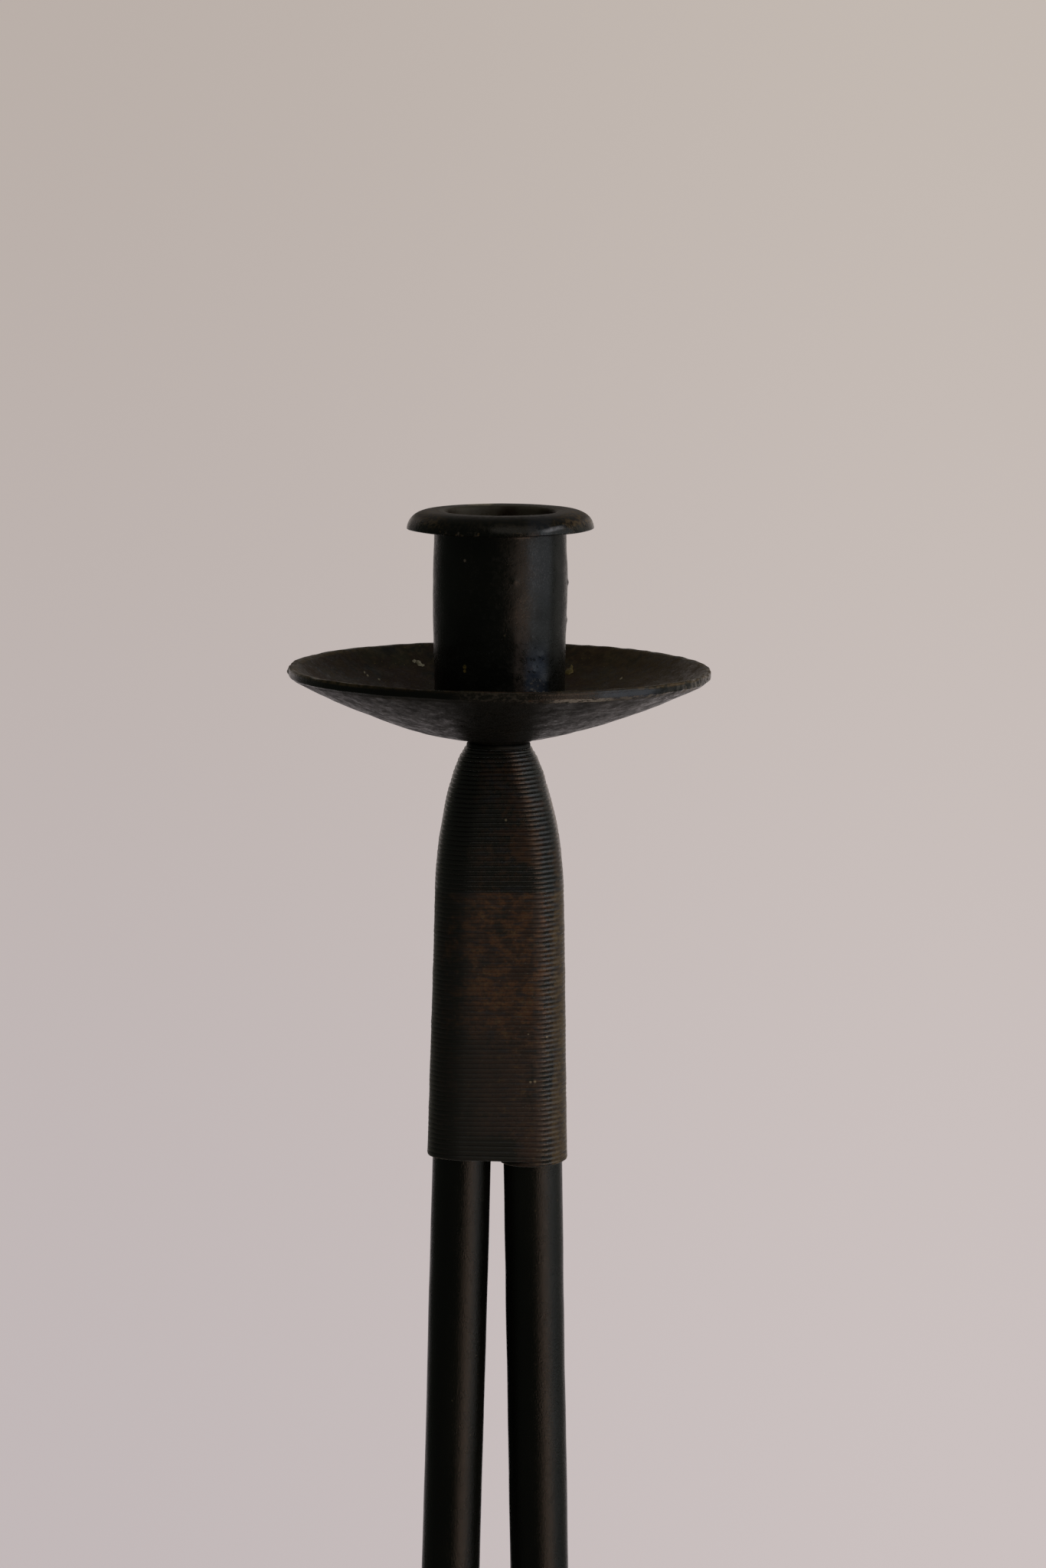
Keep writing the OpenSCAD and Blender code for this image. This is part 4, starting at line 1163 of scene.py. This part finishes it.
def add_world():
    world = bpy.data.worlds.new("room")
    bpy.context.scene.world = world
    world.use_nodes = True
    tree = world.node_tree
    tree.nodes.clear()
    link = tree.links.new

    def rise(value, start, stop, low=0.0, high=1.0):
        node = tree.nodes.new("ShaderNodeMapRange")
        node.interpolation_type = "SMOOTHSTEP"
        link(value, node.inputs["Value"])
        for key, number in (("From Min", start), ("From Max", stop),
                            ("To Min", low), ("To Max", high)):
            node.inputs[key].default_value = number
        return node.outputs[0]

    def mix(share, a, b):
        node = tree.nodes.new("ShaderNodeMix")
        node.data_type = "RGBA"
        link(share, node.inputs[0])
        for socket, value in ((node.inputs[6], a), (node.inputs[7], b)):
            if isinstance(value, tuple):
                socket.default_value = (*value, 1.0)
            else:
                link(value, socket)
        return node.outputs[2]

    def background(colour, strength):
        node = tree.nodes.new("ShaderNodeBackground")
        link(colour, node.inputs["Color"])
        link(strength, node.inputs["Strength"])
        return node.outputs[0]

    split = tree.nodes.new("ShaderNodeSeparateXYZ")
    ways_in = tree.nodes.new("ShaderNodeTexCoord").outputs["Generated"]
    link(ways_in, split.inputs[0])
    x, y, z = split.outputs
    sideways = rise(x, -0.09, 0.09)
    high = mix(sideways, WALL_HIGH_LEFT, WALL_HIGH_RIGHT)
    low = mix(sideways, WALL_LOW_LEFT, WALL_LOW_RIGHT)
    wall = mix(rise(z, 0.02, -0.26), high, low)

    # What is lit or mirrored sees the wall behind, and a dimmer room at the sides and in front
    aim = tree.nodes.new("ShaderNodeVectorMath")
    aim.operation = "DOT_PRODUCT"
    link(ways_in, aim.inputs[0])
    aim.inputs[1].default_value = (sin(WALL_TURN), cos(WALL_TURN), 0.0)
    room = rise(aim.outputs["Value"], 0.68, 0.96, ROOM_LEVEL, WALL_LEVEL)

    # The far floor is pale too
    down = tree.nodes.new("ShaderNodeMath")
    down.operation = "MULTIPLY"
    link(rise(z, -0.20, -0.42, 0.0, FLOOR_GLOW), down.inputs[0])
    link(rise(y, 0.0, 0.5), down.inputs[1])
    brighter = tree.nodes.new("ShaderNodeMath")
    brighter.operation = "MAXIMUM"
    link(room, brighter.inputs[0])
    link(down.outputs[0], brighter.inputs[1])
    room = brighter.outputs[0]
    ways = tree.nodes.new("ShaderNodeLightPath").outputs
    tinted = mix(rise(room, ROOM_LEVEL, 2 * ROOM_LEVEL), ROOM_TINT, wall)
    seen = tree.nodes.new("ShaderNodeMath")
    seen.operation = "MAXIMUM"
    link(ways["Is Camera Ray"], seen.inputs[0])
    link(room, seen.inputs[1])
    shown = background(mix(ways["Is Camera Ray"], tinted, wall), seen.outputs[0])
    lit = background(tinted, room)
    glossy = tree.nodes.new("ShaderNodeMath")
    glossy.operation = "ADD"
    link(ways["Is Glossy Ray"], glossy.inputs[0])
    link(ways["Is Transmission Ray"], glossy.inputs[1])
    direct = tree.nodes.new("ShaderNodeMath")
    direct.operation = "ADD"
    direct.use_clamp = True
    link(ways["Is Camera Ray"], direct.inputs[0])
    link(glossy.outputs[0], direct.inputs[1])
    choice = tree.nodes.new("ShaderNodeMixShader")
    link(direct.outputs[0], choice.inputs[0])
    link(lit, choice.inputs[1])
    link(shown, choice.inputs[2])
    link(choice.outputs[0], tree.nodes.new("ShaderNodeOutputWorld").inputs["Surface"])


# Panels of light: name, degrees to the right of the camera, distance, height of the middle,
# width and height in metres, colour, and radiance
PANELS = [("window", 77, 1.9, 1.35, 1.5, 1.9, (0.94, 0.98, 1.0), 0.74),
          ("window_edge", 57, 1.9, 1.35, 0.18, 1.9, (0.88, 0.95, 1.0), 2.2),
          ("side_wall", 120, 2.2, 1.30, 0.9, 2.0, (1.0, 0.96, 0.90), 0.30),
          ("lit_room", 38, 2.4, 1.35, 0.68, 1.8, (1.0, 0.73, 0.57), 0.82),
          ("lit_floor", 41, 1.9, 0.30, 0.9, 0.8, (1.0, 0.68, 0.50), 2.4),
          ("ceiling", 20, 1.4, 2.60, 1.6, 1.6, (1.0, 0.90, 0.78), 0.45)]


def add_panels():
    target = Vector((0, 0, 0.98))
    for name, from_camera, distance, height, width, tall, tint, radiance in PANELS:
        data = bpy.data.lights.new(name, "AREA")
        data.shape = "RECTANGLE"
        data.size = width
        data.size_y = tall
        data.color = tint
        data.energy = radiance * width * tall * pi
        panel = bpy.data.objects.new(name, data)
        a = radians(from_camera)
        panel.location = (distance * sin(a), -distance * cos(a), height)
        panel.rotation_euler = (target - panel.location).to_track_quat("-Z", "Y").to_euler()
        panel.visible_camera = False
        bpy.context.scene.collection.objects.link(panel)


FLOOR_R = 1.7
FLOOR_TINT = (0.60, 0.545, 0.53)
FLOOR_SHOWN = (0.40, 0.355, 0.35)


def add_floor():
    """A pale round floor that fades out towards its edge."""
    count = 128
    turn = np.linspace(0, 2 * pi, count, endpoint=False)
    points = np.stack([FLOOR_R * np.cos(turn), FLOOR_R * np.sin(turn), 0 * turn], axis=-1)
    floor = new_piece("floor", points, [list(range(count))])
    f = Finish("pale_floor")
    grain = f.noise(0.3, detail=2)
    dim = tuple(c * 0.97 for c in FLOOR_TINT)
    f.done(f.mix(grain, dim, FLOOR_TINT), 0.8, gloss=0.2)

    # The camera sees it as pale as the wall, and the object gets no more light from it
    f.link(FLOOR_SHOWN, f.surface.inputs["Emission Color"])
    f.link(f.add("ShaderNodeLightPath").outputs["Is Camera Ray"], f.surface.inputs["Emission Strength"])
    across = f.add("ShaderNodeVectorMath", operation="LENGTH")
    f.link(f.place, across.inputs[0])
    choice = f.add("ShaderNodeMixShader")
    f.link(f.rise(across.outputs["Value"], 0.35 * FLOOR_R, 0.97 * FLOOR_R), choice.inputs[0])
    f.link(f.surface.outputs[0], choice.inputs[1])
    f.link(f.add("ShaderNodeBsdfTransparent").outputs[0], choice.inputs[2])
    f.link(choice.outputs[0], f.tree.nodes["Material Output"].inputs["Surface"])
    floor.data.materials.append(f.material)


# The whole scene

dress(forged_cup(), "candle_cup", cup_iron())
dress(braze_bead(), "braze_bead", braze())
dress(hammered_pan(), "drip_pan", pan_iron())
dress(collar(), "pan_collar", worn_iron("collar_iron", WIRE_BLACK))
dress(rivet(), "rivet_stud", worn_iron("rivet_iron", PATINA_BROWN))
dress(wound_wire(), "binding_wire", rusty_wire())
rod_finish = rod_iron()
LEGS = [("front_left", 180), ("front_right", 270), ("rear_left", 90), ("rear_right", 0)]
for i, (place, quarter) in enumerate(LEGS):
    rod = leg("rod_" + place, quarter, SEED + 30 + 2 * i)
    dress(rod, "leg_" + place, rod_finish)
wax_piece("cream_wax", CREAM_CHIPS_PX, wax("cream_wax", WAX_CREAM), SEED + 40)
wax_piece("ochre_wax", OCHRE_DRIPS_PX, wax("ochre_wax", WAX_OCHRE), SEED + 60)

add_camera()
add_world()
add_panels()
add_floor()
bpy.context.scene.view_settings.view_transform = "Standard"
